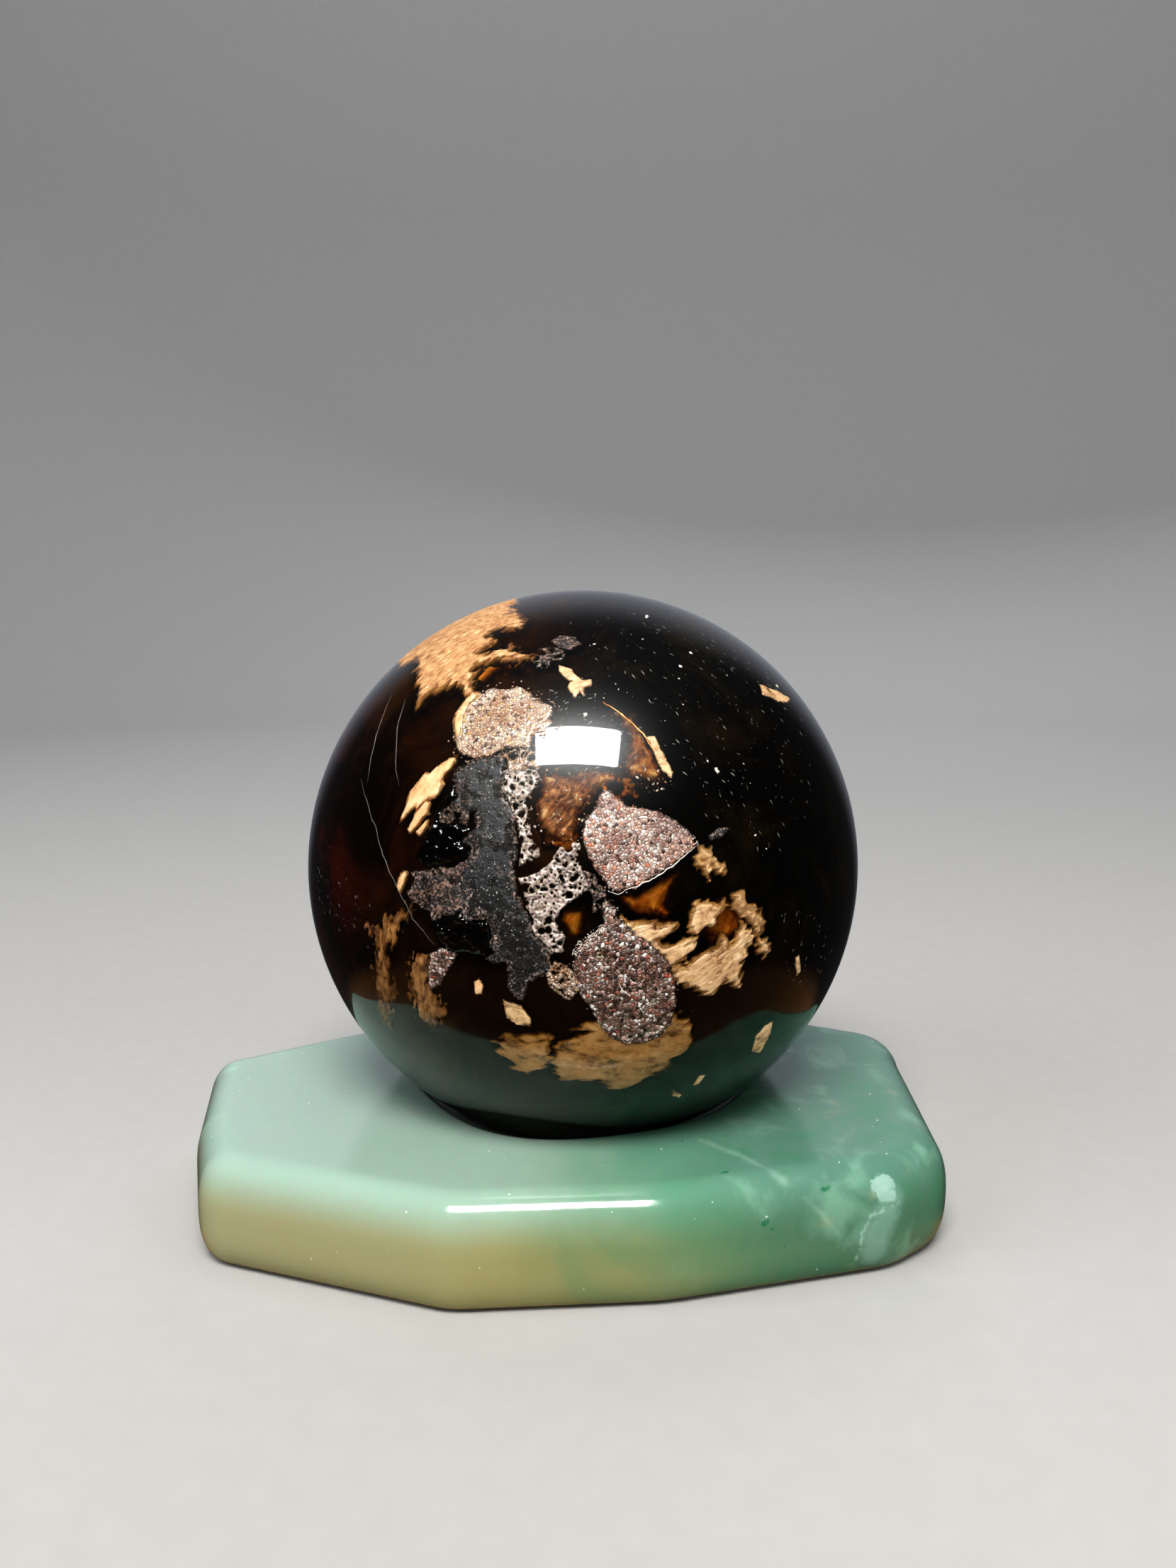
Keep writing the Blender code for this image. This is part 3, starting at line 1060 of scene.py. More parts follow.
def sandstone(name, grains, grain, tint, gap=0.10):
    """Packed sand: colours of the grains, their size in mm, a tint in patches, and the gaps between."""
    material, tree, shader, place = new_finish(name, IOR=1.5, Specular_IOR_Level=0.6, Coat_Weight=0.4,
                                               Coat_Roughness=0.22)
    warp = noise_at(tree, place, 0.0007, 2.0)
    bent = add(tree, "VectorMath", {"operation": "MULTIPLY_ADD"})
    tree.links.new(warp, bent.inputs[0])
    bent.inputs[1].default_value = (SAND_WARP, SAND_WARP, SAND_WARP)
    tree.links.new(place, bent.inputs[2])
    cells = cells_at(tree, bent.outputs[0], grain * MM)
    walls = cells_at(tree, bent.outputs[0], grain * MM, "DISTANCE_TO_EDGE")
    parts = add(tree, "SeparateColor", {}, Color=cells.outputs["Color"])
    colour = shade_ramp(tree, parts.outputs["Red"], grains)
    drift = noise_at(tree, place, 0.003, 3.0)
    colour = mix_colours(tree, steps_between(tree, drift, 0.40, 0.66), colour, tint, "MULTIPLY")
    dust = noise_at(tree, place, 0.00012, 3.0)
    colour = mix_colours(tree, steps_between(tree, dust, 0.35, 0.7), colour, (0.6, 0.55, 0.52), "MULTIPLY")
    open_gap = steps_between(tree, walls.outputs["Distance"], gap, 0.0)
    colour = mix_colours(tree, open_gap, colour, tone(48, 34, 28))
    # Painted shade: the sand darkens with depth under the skin.
    tree.links.new(painted_depth_shade(tree, colour, 0.12, 0.8, tone(22, 10, 6)), shader.inputs["Base Color"])
    gloss = add(tree, "MapRange", {}, Value=parts.outputs["Green"], To_Min=0.12, To_Max=0.7)
    tree.links.new(gloss.outputs["Result"], shader.inputs["Roughness"])
    rounded = steps_between(tree, walls.outputs["Distance"], 0.0, 0.35)
    relief(tree, shader, math_node(tree, "ADD", rounded, math_node(tree, "MULTIPLY", dust, 0.4)), 0.00009)
    return material


PINK_GRAINS = (
    (0.00, 70, 52, 48), (0.14, 168, 132, 118), (0.34, 216, 176, 158), (0.52, 196, 178, 170),
    (0.66, 250, 230, 220), (0.83, 220, 132, 92), (0.90, 255, 252, 248),
)
BROWN_GRAINS = (
    (0.00, 36, 26, 22), (0.20, 112, 84, 74), (0.42, 158, 124, 110), (0.58, 140, 128, 122),
    (0.71, 222, 200, 188), (0.83, 184, 92, 62), (0.89, 255, 252, 248),
)
TAN_GRAINS = (
    (0.00, 88, 66, 54), (0.16, 186, 150, 126), (0.40, 232, 204, 178), (0.60, 214, 190, 176),
    (0.74, 252, 240, 224), (0.90, 236, 196, 132), (0.94, 255, 252, 246),
)
pink_sand = sandstone("pink_sand", PINK_GRAINS, 0.42, (0.62, 0.54, 0.52))
brown_sand = sandstone("brown_sand", BROWN_GRAINS, 0.44, (0.60, 0.48, 0.44), gap=0.13)
tan_sand = sandstone("tan_sand", TAN_GRAINS, 0.38, (0.74, 0.58, 0.46))
print("three sands:", pink_sand.name, brown_sand.name, tan_sand.name)

# %% [markdown]
# The charcoal rock is a fine dark ash with glints, a few round gas bubbles with pale lips, and a pinkish
# worn rim. The rim comes from the distance that each plate keeps on its points.

# %% Charcoal rock
BUBBLE_SIZE = 0.0026
BUBBLE_LIP = 0.115
BUBBLE_LIP_WIDTH = 0.018


def ash(name, deep, light, rim, rim_width, glints, low, high, bumps):
    """Fine dark rock: two noises between two tones, sharp glints, bubble lips, and a paler crumbly rim."""
    material, tree, shader, place = new_finish(name, Roughness=0.42, IOR=1.55, Coat_Weight=0.25,
                                               Coat_Roughness=0.2)
    clouds = noise_at(tree, place, 0.0022, 5.0, 0.65)
    grit = noise_at(tree, place, 0.00034, 4.0, 0.7)
    both = math_node(tree, "ADD", math_node(tree, "MULTIPLY", clouds, 0.35),
                     math_node(tree, "MULTIPLY", grit, 0.72))
    colour = mix_colours(tree, steps_between(tree, both, low, high), deep, light)
    wobble = math_node(tree, "MULTIPLY", math_node(tree, "SUBTRACT", clouds, 0.5), 4.5)
    near_rim = steps_between(tree, math_node(tree, "ADD", attribute(tree, "edge"), wobble), rim_width, -0.1)
    crumbly = steps_between(tree, grit, 0.46, 0.58)
    colour = mix_colours(tree, math_node(tree, "MULTIPLY", near_rim, crumbly), colour, rim)
    bubbles = cells_at(tree, place, BUBBLE_SIZE).outputs["Distance"]
    lip = math_node(tree, "COMPARE", bubbles, BUBBLE_LIP, BUBBLE_LIP_WIDTH)
    colour = mix_colours(tree, math_node(tree, "MULTIPLY", lip, 0.35), colour, rim)
    sparkle_cells = cells_at(tree, place, 0.00013)
    parts = add(tree, "SeparateColor", {}, Color=sparkle_cells.outputs["Color"])
    glint = steps_between(tree, parts.outputs["Red"], glints, glints + 0.01)
    colour = mix_colours(tree, math_node(tree, "MULTIPLY", glint, 0.6), colour, tone(206, 198, 190))
    # Painted shade: the rock darkens with depth under the skin.
    tree.links.new(painted_depth_shade(tree, colour, 0.15, 0.8, tone(10, 6, 4)), shader.inputs["Base Color"])
    pit = steps_between(tree, bubbles, 0.10, 0.125)
    bumpy = math_node(tree, "ADD", math_node(tree, "MULTIPLY", both, 0.8), pit)
    relief(tree, shader, math_node(tree, "ADD", bumpy, math_node(tree, "MULTIPLY", crumbly, near_rim)), bumps)
    return material


charcoal = ash("charcoal_rock", tone(3, 3, 4), tone(78, 72, 73), tone(190, 164, 156), 0.9, 0.975, 0.55, 0.66,
               0.0003)
umber = ash("umber_rock", tone(6, 4, 3), tone(134, 102, 88), tone(204, 174, 160), 0.9, 0.985, 0.53, 0.62,
            0.0004)
print("two rocks:", charcoal.name, umber.name)

# %% [markdown]
# The lace is a pale mottled crust with a paler edge. Its large holes are cut in the mesh, and only the pits
# under half a millimetre are painted.

# %% Pale lace
lace, tree, shader, place = new_finish("pale_lace", Roughness=0.5, IOR=1.5, Coat_Weight=0.3,
                                       Coat_Roughness=0.25)
mottle = noise_at(tree, place, 0.0007, 4.0, 0.65)
colour = shade_ramp(tree, mottle, (
    (0.30, 52, 40, 36), (0.42, 128, 108, 100), (0.52, 184, 166, 158), (0.66, 240, 228, 220),
))
pits = cells_at(tree, place, 0.00050).outputs["Distance"]
colour = mix_colours(tree, steps_between(tree, pits, 0.40, 0.24), colour, tone(30, 20, 17))
rim_glow = steps_between(tree, attribute(tree, "edge"), 0.30, 0.02)
colour = mix_colours(tree, math_node(tree, "MULTIPLY", rim_glow, 0.35), colour, tone(226, 212, 202))
# Painted shade: the lace darkens with depth under the skin.
tree.links.new(painted_depth_shade(tree, colour, 0.2, 0.6, tone(14, 8, 6)), shader.inputs["Base Color"])
relief(tree, shader, math_node(tree, "ADD", steps_between(tree, pits, 0.15, 0.5), mottle), 0.00018)
print("pale lace with", len(tree.nodes), "nodes")

# %% [markdown]
# Crust is old resin full of fibre. Its noise is stretched along one way, so it reads as bark or felt. The
# same recipe gives the orange felt at the upper left, the cream leaf shapes and the dull tan sheet under
# the front.

# %% The recipe of a crust


def crust(name, stops, turn, longer, size, rough, fine, span, fade=(0.2, 1.0), swirl=0.4):
    """Fibres along one way, broken by a second noise, coloured by a ramp, and darkened with depth by painted
    shade.

    Turn and longer point and stretch the fibres, size and fine are their width and relief in metres, span is
    the part of the noise that the ramp covers, and fade is two depths in mm, where the painted depth shade
    starts and ends.
    """
    material, tree, shader, place = new_finish(name, Roughness=rough, IOR=1.48, Coat_Weight=0.25,
                                               Coat_Roughness=0.25)
    flow = stretched(tree, place, turn, longer)
    strands = noise_at(tree, flow, size, 6.0, 0.68, swirl)
    felt = noise_at(tree, place, size * 2.6, 4.0, 0.6)
    both = math_node(tree, "ADD", math_node(tree, "MULTIPLY", strands, 0.62),
                     math_node(tree, "MULTIPLY", felt, 0.38))
    share = add(tree, "MapRange", {}, Value=both, From_Min=span[0], From_Max=span[1])
    colour = shade_ramp(tree, share.outputs["Result"], stops)
    # Painted shade: the crust darkens with depth under the skin.
    tree.links.new(painted_depth_shade(tree, colour, fade[0], fade[1], tone(34, 10, 3)), shader.inputs["Base Color"])
    relief(tree, shader, strands, fine)
    return material


print("one recipe for all crusts")

# %% [markdown]
# Five crusts come from it. The ember lies deepest; its ramp is painted orange, a painted glow, and the amber
# over it deepens that orange.

# %% Fibrous and cream crust
orange_felt = crust("orange_felt", (
    (0.00, 92, 54, 28), (0.28, 158, 108, 64), (0.50, 192, 142, 92), (0.75, 214, 168, 118),
    (1.00, 250, 222, 182),
), (0, 38, 0), (1, 1, 7), 0.00042, 0.65, 0.0003, (0.34, 0.66))
cream_leaf = crust("cream_leaf", (
    (0.00, 80, 46, 24), (0.16, 176, 126, 84), (0.40, 220, 172, 122), (1.00, 244, 206, 162),
), (0, 40, 0), (1, 1, 3), 0.0008, 0.4, 0.0002, (0.32, 0.66))
cream_flow = crust("cream_flow", (
    (0.00, 50, 28, 16), (0.18, 130, 90, 58), (0.38, 194, 152, 108), (0.66, 224, 186, 140),
    (1.00, 246, 222, 184),
), (0, -25, 0), (4, 1, 1), 0.0010, 0.42, 0.00025, (0.34, 0.66), (0.2, 1.0), 1.6)
dull_tan = crust("dull_tan", (
    (0.00, 48, 32, 20), (0.20, 136, 102, 68), (0.50, 214, 176, 128), (1.00, 246, 214, 170),
), (0, 10, 0), (2.5, 1, 1), 0.0010, 0.6, 0.00018, (0.34, 0.66), (0.45, 1.2))
# The ember's pale-to-orange ramp is a painted glow: the sheets it covers look lit from within.
ember = crust("ember", (
    (0.00, 80, 34, 8), (0.40, 206, 130, 50), (0.75, 240, 190, 110), (1.00, 255, 232, 180),
), (0, 30, 0), (1, 1, 4), 0.0012, 0.5, 0.0002, (0.34, 0.66), (0.9, 2.3), 1.0)
print("crusts:", orange_felt.name, cream_leaf.name, cream_flow.name, dull_tan.name, ember.name)

# %% [markdown]
# Two are left: a wet-looking black resin that is all mirror and ripple, and the bright grit of crumbs and
# dust.

# %% Black glass and white grit
jet, tree, shader, place = new_finish("black_glass", Base_Color=(*tone(6, 5, 5), 1.0), Roughness=0.06,
                                      IOR=1.54)
ripple = noise_at(tree, place, 0.0009, 3.0, 0.5, 0.5)
relief(tree, shader, ripple, 0.0003)

white_grit, tree, shader, place = new_finish("white_grit", Roughness=0.2, IOR=1.5)
dirt = noise_at(tree, place, 0.0006, 3.0)
tree.links.new(mix_colours(tree, dirt, tone(255, 250, 240), tone(190, 176, 160)), shader.inputs["Base Color"])
print("glass and grit:", jet.name, white_grit.name)

# %% [markdown]
# ## The orange felt and the cream leaves
#
# The largest pale patch runs over the ball's upper left shoulder and out of sight. It is drawn from the
# photograph as far as the horizon of the ball and then carried on round the back. A second sheet lies under
# its lower edge, deeper in the resin, painted orange as a painted glow, which the amber over it deepens.

# %% Upper left crust
felt_outline = np.concatenate([
    on_ball(589, 988, 606, 974, 627, 967, 644, 960, 650, 969, 662, 984, 668, 982, 664, 953, 668, 936,
            691, 931, 707, 928, 729, 927, 746, 924, 720, 920, 724, 909, 713, 916, 696, 917, 676, 926,
            670, 922, 674, 914, 691, 909, 695, 902, 682, 896, 688, 892, 699, 884, 718, 886, 734, 884,
            739, 874, 729, 867, 714, 866, 724, 861, 714, 858, 727, 850),
    [past_limb(727, 843, 2), past_limb(700, 852, 12), past_limb(640, 875, 15), past_limb(600, 900, 9),
     past_limb(566, 930, 3)],
    on_ball(566, 940, 578, 932, 589, 926, 592, 955),
])
inlay("felt_crust", felt_outline, orange_felt, flush(0.05, 0.16, 0.35, 0.05, 0.5), bowl(1.5), (0.8, 0.22, 11),
      skirt=(1.0, 1.6), comb=((0.6, 0.1, 0.8), 0.32, 0.75))
felt_glow = on_ball(
    600, 985, 628, 976, 648, 972, 668, 990, 676, 962, 700, 944, 736, 938, 758, 930, 740, 920, 700, 920,
    660, 930, 600, 950,
)
inlay("felt_glow", felt_glow, ember, sunken(1.4, 0.5, 1.2, 12, 1.5, 1.6), bowl(0.6), (1.0, 0.4, 13),
      skirt=(0.8, 2.0))
tan_strip = on_ball(666, 975, 676, 978, 662, 993, 654, 1014, 650, 1035, 643, 1040, 640, 1020, 642, 1005)
inlay("tan_strip", tan_strip, cream_leaf, flush(0.04, 0.14, 0.3), bowl(1.0), (0.7, 0.16, 14),
      skirt=(0.5, 1.8))
print("the crust's outline has", len(felt_outline), "points")

# %% [markdown]
# The leaves are smooth cream lobes with straight splits between them, and one narrow glow beside them.
# Their grid is finer than the usual one, because their tips are sharp.

# %% Cream leaves
leaf_large = on_ball(
    634, 1069, 641, 1072, 635, 1087, 626, 1094, 622, 1109, 616, 1120, 602, 1126, 583, 1141, 561, 1161,
    570, 1137, 579, 1116, 596, 1097, 610, 1087, 619, 1081,
)
leaf_middle = on_ball(600, 1130, 606, 1134, 602, 1148, 588, 1164, 579, 1173, 574, 1170, 584, 1148)
leaf_small = on_ball(600, 1158, 603, 1166, 592, 1177, 586, 1174)
leaf_tip = on_ball(568, 1229, 572, 1234, 569, 1246, 562, 1257, 559, 1250, 563, 1238)
for name, outline, seed in (
    ("leaf_large", leaf_large, 21), ("leaf_middle", leaf_middle, 22), ("leaf_small", leaf_small, 23),
    ("leaf_tip", leaf_tip, 24),
):
    inlay(name, outline, cream_leaf, flush(0.04, 0.12, 0.2, 0.05, 0.7), bowl(0.9), (0.7, 0.16, seed),
          grid=0.00012, skirt=(0.15, 2.5), comb=((0.5, 0.0, 0.85), 0.4, 0.35))
leaf_glow = on_ball(612, 1090, 600, 1112, 618, 1112, 632, 1098, 646, 1078, 652, 1052, 640, 1048, 626, 1064)
inlay("leaf_glow", leaf_glow, ember, sunken(0.9, 0.7, 1.2, 25, 2.4, 1.4), bowl(0.6), (0.9, 0.3, 26))
print("four leaves and a glow")

# %% [markdown]
# ## The sand pods
#
# Three pockets of sand were cut through. Their grains stand a little apart, so the plate's top carries the
# relief of packed grains as geometry, and the finish adds the colour of each grain. Loose grains lie just
# outside the rim, as they do on the ball.

# %% Sand pods
SAND_GRAIN = 0.42
SAND_PROUD = 0.05
SAND_LAP = 0.16
SAND_RIM = 0.25
SAND_HIGH = 0.07
SAND_DOME = 0.6


def grainy(seed, hollow=None):
    """Top of a sand pod: flush with the polish, and a dome for each packed grain where no other is as near.

    A hollow is a place, a radius in mm and a depth in mm. The other sizes are in mm too.
    """

    def top(field, skin):
        nearest, second, own = cell_noise(skin, SAND_GRAIN * MM, seed)
        dome = np.clip(second - nearest, 0, SAND_DOME) / SAND_DOME
        rise = ramp(field, 0, SAND_RIM * MM)
        domes = dome * (0.4 + 0.6 * own) - 0.4
        height = (SAND_PROUD - SAND_LAP * (1 - rise) + SAND_HIGH * rise * domes) * MM
        if hollow is not None:
            away = np.linalg.norm(skin - hollow[0], axis=-1)
            height = height - hollow[2] * MM * (1 - ramp(away, 0.3 * hollow[1] * MM, hollow[1] * MM))
        return height

    return top


pod_upper = on_ball(
    660, 993, 679, 978, 690, 972, 705, 971, 719, 970, 729, 967, 742, 974, 751, 980, 768, 992, 781, 998,
    774, 1014, 781, 1021, 768, 1032, 750, 1040, 746, 1056, 724, 1054, 698, 1062, 667, 1070, 649, 1063,
    642, 1042,
)
pod_right = on_ball(
    859, 1112, 870, 1126, 885, 1137, 909, 1140, 927, 1143, 948, 1153, 967, 1167, 979, 1181, 982, 1191,
    972, 1202, 955, 1215, 934, 1231, 906, 1246, 885, 1254, 871, 1260, 859, 1254, 850, 1239, 839, 1227,
    828, 1203, 821, 1178, 825, 1159, 840, 1140, 847, 1119,
)
pod_lower = on_ball(
    853, 1266, 869, 1279, 872, 1296, 893, 1310, 923, 1334, 945, 1359, 954, 1392, 954, 1419, 945, 1447,
    932, 1463, 910, 1471, 882, 1474, 860, 1463, 844, 1444, 830, 1419, 811, 1392, 807, 1364, 814, 1337,
    827, 1323, 852, 1304, 848, 1282,
)
pod_pit = (CENTRE + on_ball(849, 1346)[0] * RADIUS, 0.9, 0.35)
inlay("pod_upper", pod_upper, tan_sand, grainy(seed=31), bowl(2.0), (0.7, 0.35, 32))
inlay("pod_right", pod_right, pink_sand, grainy(seed=34), bowl(2.2), (0.6, 0.16, 35))
inlay("pod_lower", pod_lower, brown_sand, grainy(seed=37, hollow=pod_pit), bowl(2.2), (0.6, 0.18, 38))
print("three sand pods")

# %% [markdown]
# Loose grains spill over the rims, some of them bright, and pale dust follows the left edge of the lowest
# pod.

# %% Loose sand
spilt = 0
for name, region, finish, count, spread, sizes, lift, seed in (
    ("pod_upper_grains", pod_upper, tan_sand, 340, 0.9, (0.15, 0.42), 0.03, 41),
    ("pod_right_grains", pod_right, pink_sand, 240, 0.35, (0.14, 0.38), 0.04, 44),
    ("pod_lower_grains", pod_lower, brown_sand, 320, 0.4, (0.14, 0.42), 0.04, 47),
):
    way = scatter(region, count, seed, spread)
    crumbs(name, way, finish, np.random.default_rng(seed + 1).uniform(*sizes, len(way)), 0.6, lift, seed + 2)
    spilt += len(way)
glint_way = np.concatenate([scatter(pod_lower, 90, 51), scatter(pod_right, 60, 52),
                            scatter(pod_upper, 50, 53)])
glint_sizes = np.random.default_rng(54).uniform(0.08, 0.2, len(glint_way))
crumbs("sand_glints", glint_way, white_grit, glint_sizes, 0.8, 0.07, 55)
pod_rim = on_ball(804, 1352, 812, 1332, 828, 1318, 850, 1302, 858, 1308, 838, 1324, 822, 1342, 812, 1360)
rim_way = scatter(pod_rim, 150, 57)
rim_sizes = np.random.default_rng(58).uniform(0.08, 0.24, len(rim_way))
crumbs("pod_rim_dust", rim_way, white_grit, rim_sizes, 0.6, 0.08, 59)
print("sand pods with", spilt, "loose grains")

# %% [markdown]
# ## The charcoal rock and the lace beside it
#
# A branching band of dark rock crosses the middle of the view, with brownish lumps on its left arm, and a
# pale porous crust along its right side. The lace is the same plate, with two sizes of round pit punched
# through it by cell noise, so that a web of walls is left.

# %% Charcoal band
rock_outline = on_ball(
    667, 1070, 698, 1064, 709, 1062, 712, 1078, 709, 1091, 710, 1111, 718, 1132, 727, 1148, 728, 1168,
    731, 1199, 726, 1224, 727, 1242, 731, 1262, 739, 1281, 749, 1294, 755, 1316, 771, 1331, 776, 1346,
    776, 1374, 744, 1387, 741, 1412, 730, 1412, 715, 1398, 717, 1377, 712, 1358, 690, 1360, 684, 1351,
    696, 1344, 688, 1336, 694, 1323, 693, 1308, 685, 1298, 671, 1298, 655, 1300, 649, 1284, 640, 1256,
    650, 1228, 662, 1207, 666, 1196, 649, 1188, 654, 1182, 671, 1164, 668, 1146, 650, 1148, 635, 1136,
    644, 1116, 639, 1101, 642, 1088, 660, 1074,
)
arm_outline = on_ball(
    573, 1228, 590, 1229, 610, 1226, 639, 1221, 660, 1216, 672, 1236, 668, 1262, 660, 1284, 648, 1286,
    626, 1293, 608, 1299, 605, 1286, 580, 1272, 574, 1260, 584, 1239,
)
fringe_outline = on_ball(
    648, 1074, 664, 1070, 668, 1090, 664, 1112, 670, 1134, 660, 1150, 664, 1168, 640, 1156, 630, 1164,
    617, 1158, 620, 1146, 636, 1136, 645, 1116, 638, 1101, 642, 1086,
)


def rock_top(proud, seed, lumpy):
    """Top of the rock: flush, with lumps of half a millimetre and finer grit on them."""

    def top(field, skin):
        rise = ramp(field, 0, 0.3 * MM)
        lumps = rough_noise(skin, 1.1 * MM, seed, 5)
        return (proud - 0.18 * (1 - rise) + lumpy * rise * (lumps - 0.3)) * MM

    return top


def lace_holes(seed, large=1.15, small=0.55):
    """Pits of two sizes: the distance past a round hole at each scattered point."""

    def cut(skin):
        bend = np.stack([rough_noise(skin, 0.8 * MM, seed + axis) for axis in (20, 21, 22)], -1)
        skin = skin + 0.35 * MM * bend
        near_large = cell_noise(skin, large * MM, seed)
        near_small = cell_noise(skin, small * MM, seed + 9)
        big = (near_large[0] - 0.16 - 0.30 * near_large[2]) * large * MM
        little = (near_small[0] - 0.40 * near_small[2]) * small * MM
        return np.minimum(big, little)

    return cut


inlay("rock_band", rock_outline, charcoal, rock_top(0.04, 61, 0.10), bowl(2.0), (1.0, 0.42, 62))
inlay("rock_arm", arm_outline, umber, rock_top(0.07, 64, 0.16), bowl(1.6), (0.8, 0.36, 65))
inlay("rock_fringe", fringe_outline, umber, rock_top(0.08, 66, 0.16), bowl(1.2), (0.7, 0.34, 67),
      lace_holes(68, 1.5, 0.5))
print("rock outlines of", len(rock_outline), len(arm_outline), "and", len(fringe_outline), "points")

# %% [markdown]
# The lace is the flush plate with those holes in it, on a grid fine enough for the walls between them.

# %% Pale lace
lace_strip = on_ball(
    710, 1086, 728, 1080, 745, 1084, 757, 1088, 762, 1099, 751, 1116, 742, 1132, 746, 1148, 749, 1168,
    752, 1187, 762, 1196, 760, 1208, 746, 1216, 734, 1222, 732, 1206, 736, 1188, 731, 1175, 728, 1155,
    718, 1132, 710, 1116,
)
lace_large = on_ball(
    789, 1194, 806, 1193, 815, 1184, 819, 1197, 813, 1211, 820, 1222, 826, 1236, 834, 1250, 817, 1265,
    799, 1277, 789, 1288, 783, 1298, 789, 1309, 798, 1322, 794, 1335, 796, 1342, 776, 1346, 768, 1331,
    757, 1321, 748, 1308, 753, 1298, 743, 1282, 739, 1266, 731, 1239, 742, 1236, 757, 1231, 771, 1221,
    779, 1211,
)
lace_bridge = on_ball(820, 1228, 838, 1232, 850, 1244, 856, 1262, 846, 1284, 834, 1288, 836, 1266, 826, 1250)
lace_upper = on_ball(706, 1064, 724, 1056, 748, 1056, 762, 1066, 760, 1084, 744, 1090, 722, 1086, 709, 1082)
inlay("lace_strip", lace_strip, lace, flush(0.09, 0.2, 0.2, 0.06, 0.5), bowl(0.9), (0.6, 0.22, 71),
      lace_holes(72, 0.9, 0.45), 0.00011)
inlay("lace_large", lace_large, lace, flush(0.10, 0.2, 0.2, 0.07, 0.5), bowl(0.9), (0.7, 0.25, 73),
      lace_holes(74), 0.00011)
inlay("lace_bridge", lace_bridge, umber, flush(0.08, 0.2, 0.2, 0.07, 0.5), bowl(0.9), (0.7, 0.25, 75),
      lace_holes(76), 0.00012)
inlay("lace_upper", lace_upper, tan_sand, grainy(seed=77), bowl(1.0), (0.7, 0.35, 78),
      lace_holes(79, 1.4, 0.5), 0.00014)
print("lace in four patches")

# %% [markdown]
# Between the lace and the right pod the resin is smoky red-brown and streaked. It is a sunken sheet of dark
# fibres, with a few crumbs of pale crust and two small ember windows on it.

# %% Smoky streaks
smoke = crust("smoke", (
    (0.00, 30, 13, 8), (0.35, 112, 62, 38), (0.60, 184, 128, 92), (0.78, 232, 200, 168),
    (1.00, 250, 232, 208),
), (0, -50, 0), (6, 1, 1), 0.0009, 0.5, 0.0002, (0.34, 0.68), (0.9, 2.2))
smoke_outline = on_ball(
    752, 1082, 800, 1080, 850, 1076, 892, 1084, 876, 1108, 846, 1120, 824, 1158, 818, 1196, 792, 1198,
    764, 1200, 750, 1160, 744, 1132, 756, 1104,
)
inlay("smoke_streaks", smoke_outline, smoke, sunken(0.6, 0.5, 1.6, 86, 1.9, 1.8), bowl(0.8), (1.4, 0.7, 87))
smoke_glow = on_ball(776, 1166, 800, 1160, 816, 1176, 812, 1196, 790, 1200, 776, 1188)
inlay("smoke_glow", smoke_glow, ember, sunken(0.5, 0.5, 0.9, 88, 1.0), bowl(0.6), (0.6, 0.3, 89),
      lace_holes(90, 1.3, 0.5), 0.00013)
smoke_right = on_ball(
    855, 994, 872, 990, 894, 999, 921, 1027, 948, 1098, 930, 1112, 900, 1100, 880, 1096, 878, 1060, 880, 1030,
)
inlay("smoke_right", smoke_right, smoke, sunken(0.8, 0.6, 1.6, 186, 1.7, 1.6), bowl(0.8), (1.4, 0.6, 187))
pale_way = scatter(on_ball(883, 1090, 905, 1082, 930, 1088, 944, 1106, 915, 1112, 890, 1106), 46, 188, 0.5)
crumbs("pale_crumbs", pale_way, tan_sand, scatter_sizes(len(pale_way), 189, 0.08, 0.34), 0.4, 0.02, 190, 1.6)
smoke_way = scatter(smoke_outline, 90, 99)
crumbs("smoke_crumbs", smoke_way, tan_sand, scatter_sizes(len(smoke_way), 100, 0.12, 0.4), 0.5, 0.02, 101)
print("smoky streaks with", len(pale_way) + len(smoke_way), "crumbs on them")

# %% [markdown]
# The two hollows beside the band are black and wet-looking. They are shallow plates of glassy resin whose
# tops roll, so that the lamp breaks up into small glints on them.

# %% Glassy hollows
GLASS_PROUD = 0.03
GLASS_LAP = 0.10
GLASS_ROLL = 0.42


def glassy(seed):
    """Top of a glassy hollow: a little under the polish near the rim, with steep rolls of a millimetre."""

    def top(field, skin):
        rise = ramp(field, 0, 0.6 * MM)
        ridges = 1 - np.abs(rough_noise(skin, 1.5 * MM, seed, 3))
        rolls = 0.55 * GLASS_ROLL + GLASS_ROLL * (ridges**3 - 0.5)
        return (GLASS_PROUD - GLASS_LAP * (1 - rise) + rise * rolls) * MM

    return top


hollow_upper = on_ball(
    640, 1100, 634, 1118, 618, 1136, 610, 1160, 596, 1186, 584, 1212, 606, 1224, 640, 1218, 662, 1204,
    650, 1188, 668, 1168, 640, 1160, 618, 1164, 622, 1146, 644, 1124,
)
hollow_lower = on_ball(
    608, 1300, 630, 1294, 650, 1288, 658, 1300, 690, 1302, 692, 1326, 686, 1350, 664, 1346, 640, 1344,
    620, 1330,
)
inlay("hollow_upper", hollow_upper, jet, glassy(81), bowl(1.2), (0.8, 0.2, 82))
inlay("hollow_lower", hollow_lower, jet, glassy(83), bowl(1.2), (0.8, 0.2, 84))
print("two glassy hollows")

# %% [markdown]
# ## Cream flows on the right
#
# Pale resin was squeezed into folds here. The folds are several ragged plates at the skin, with
# ember-coloured sheets under them where the amber between the folds glows orange and red.

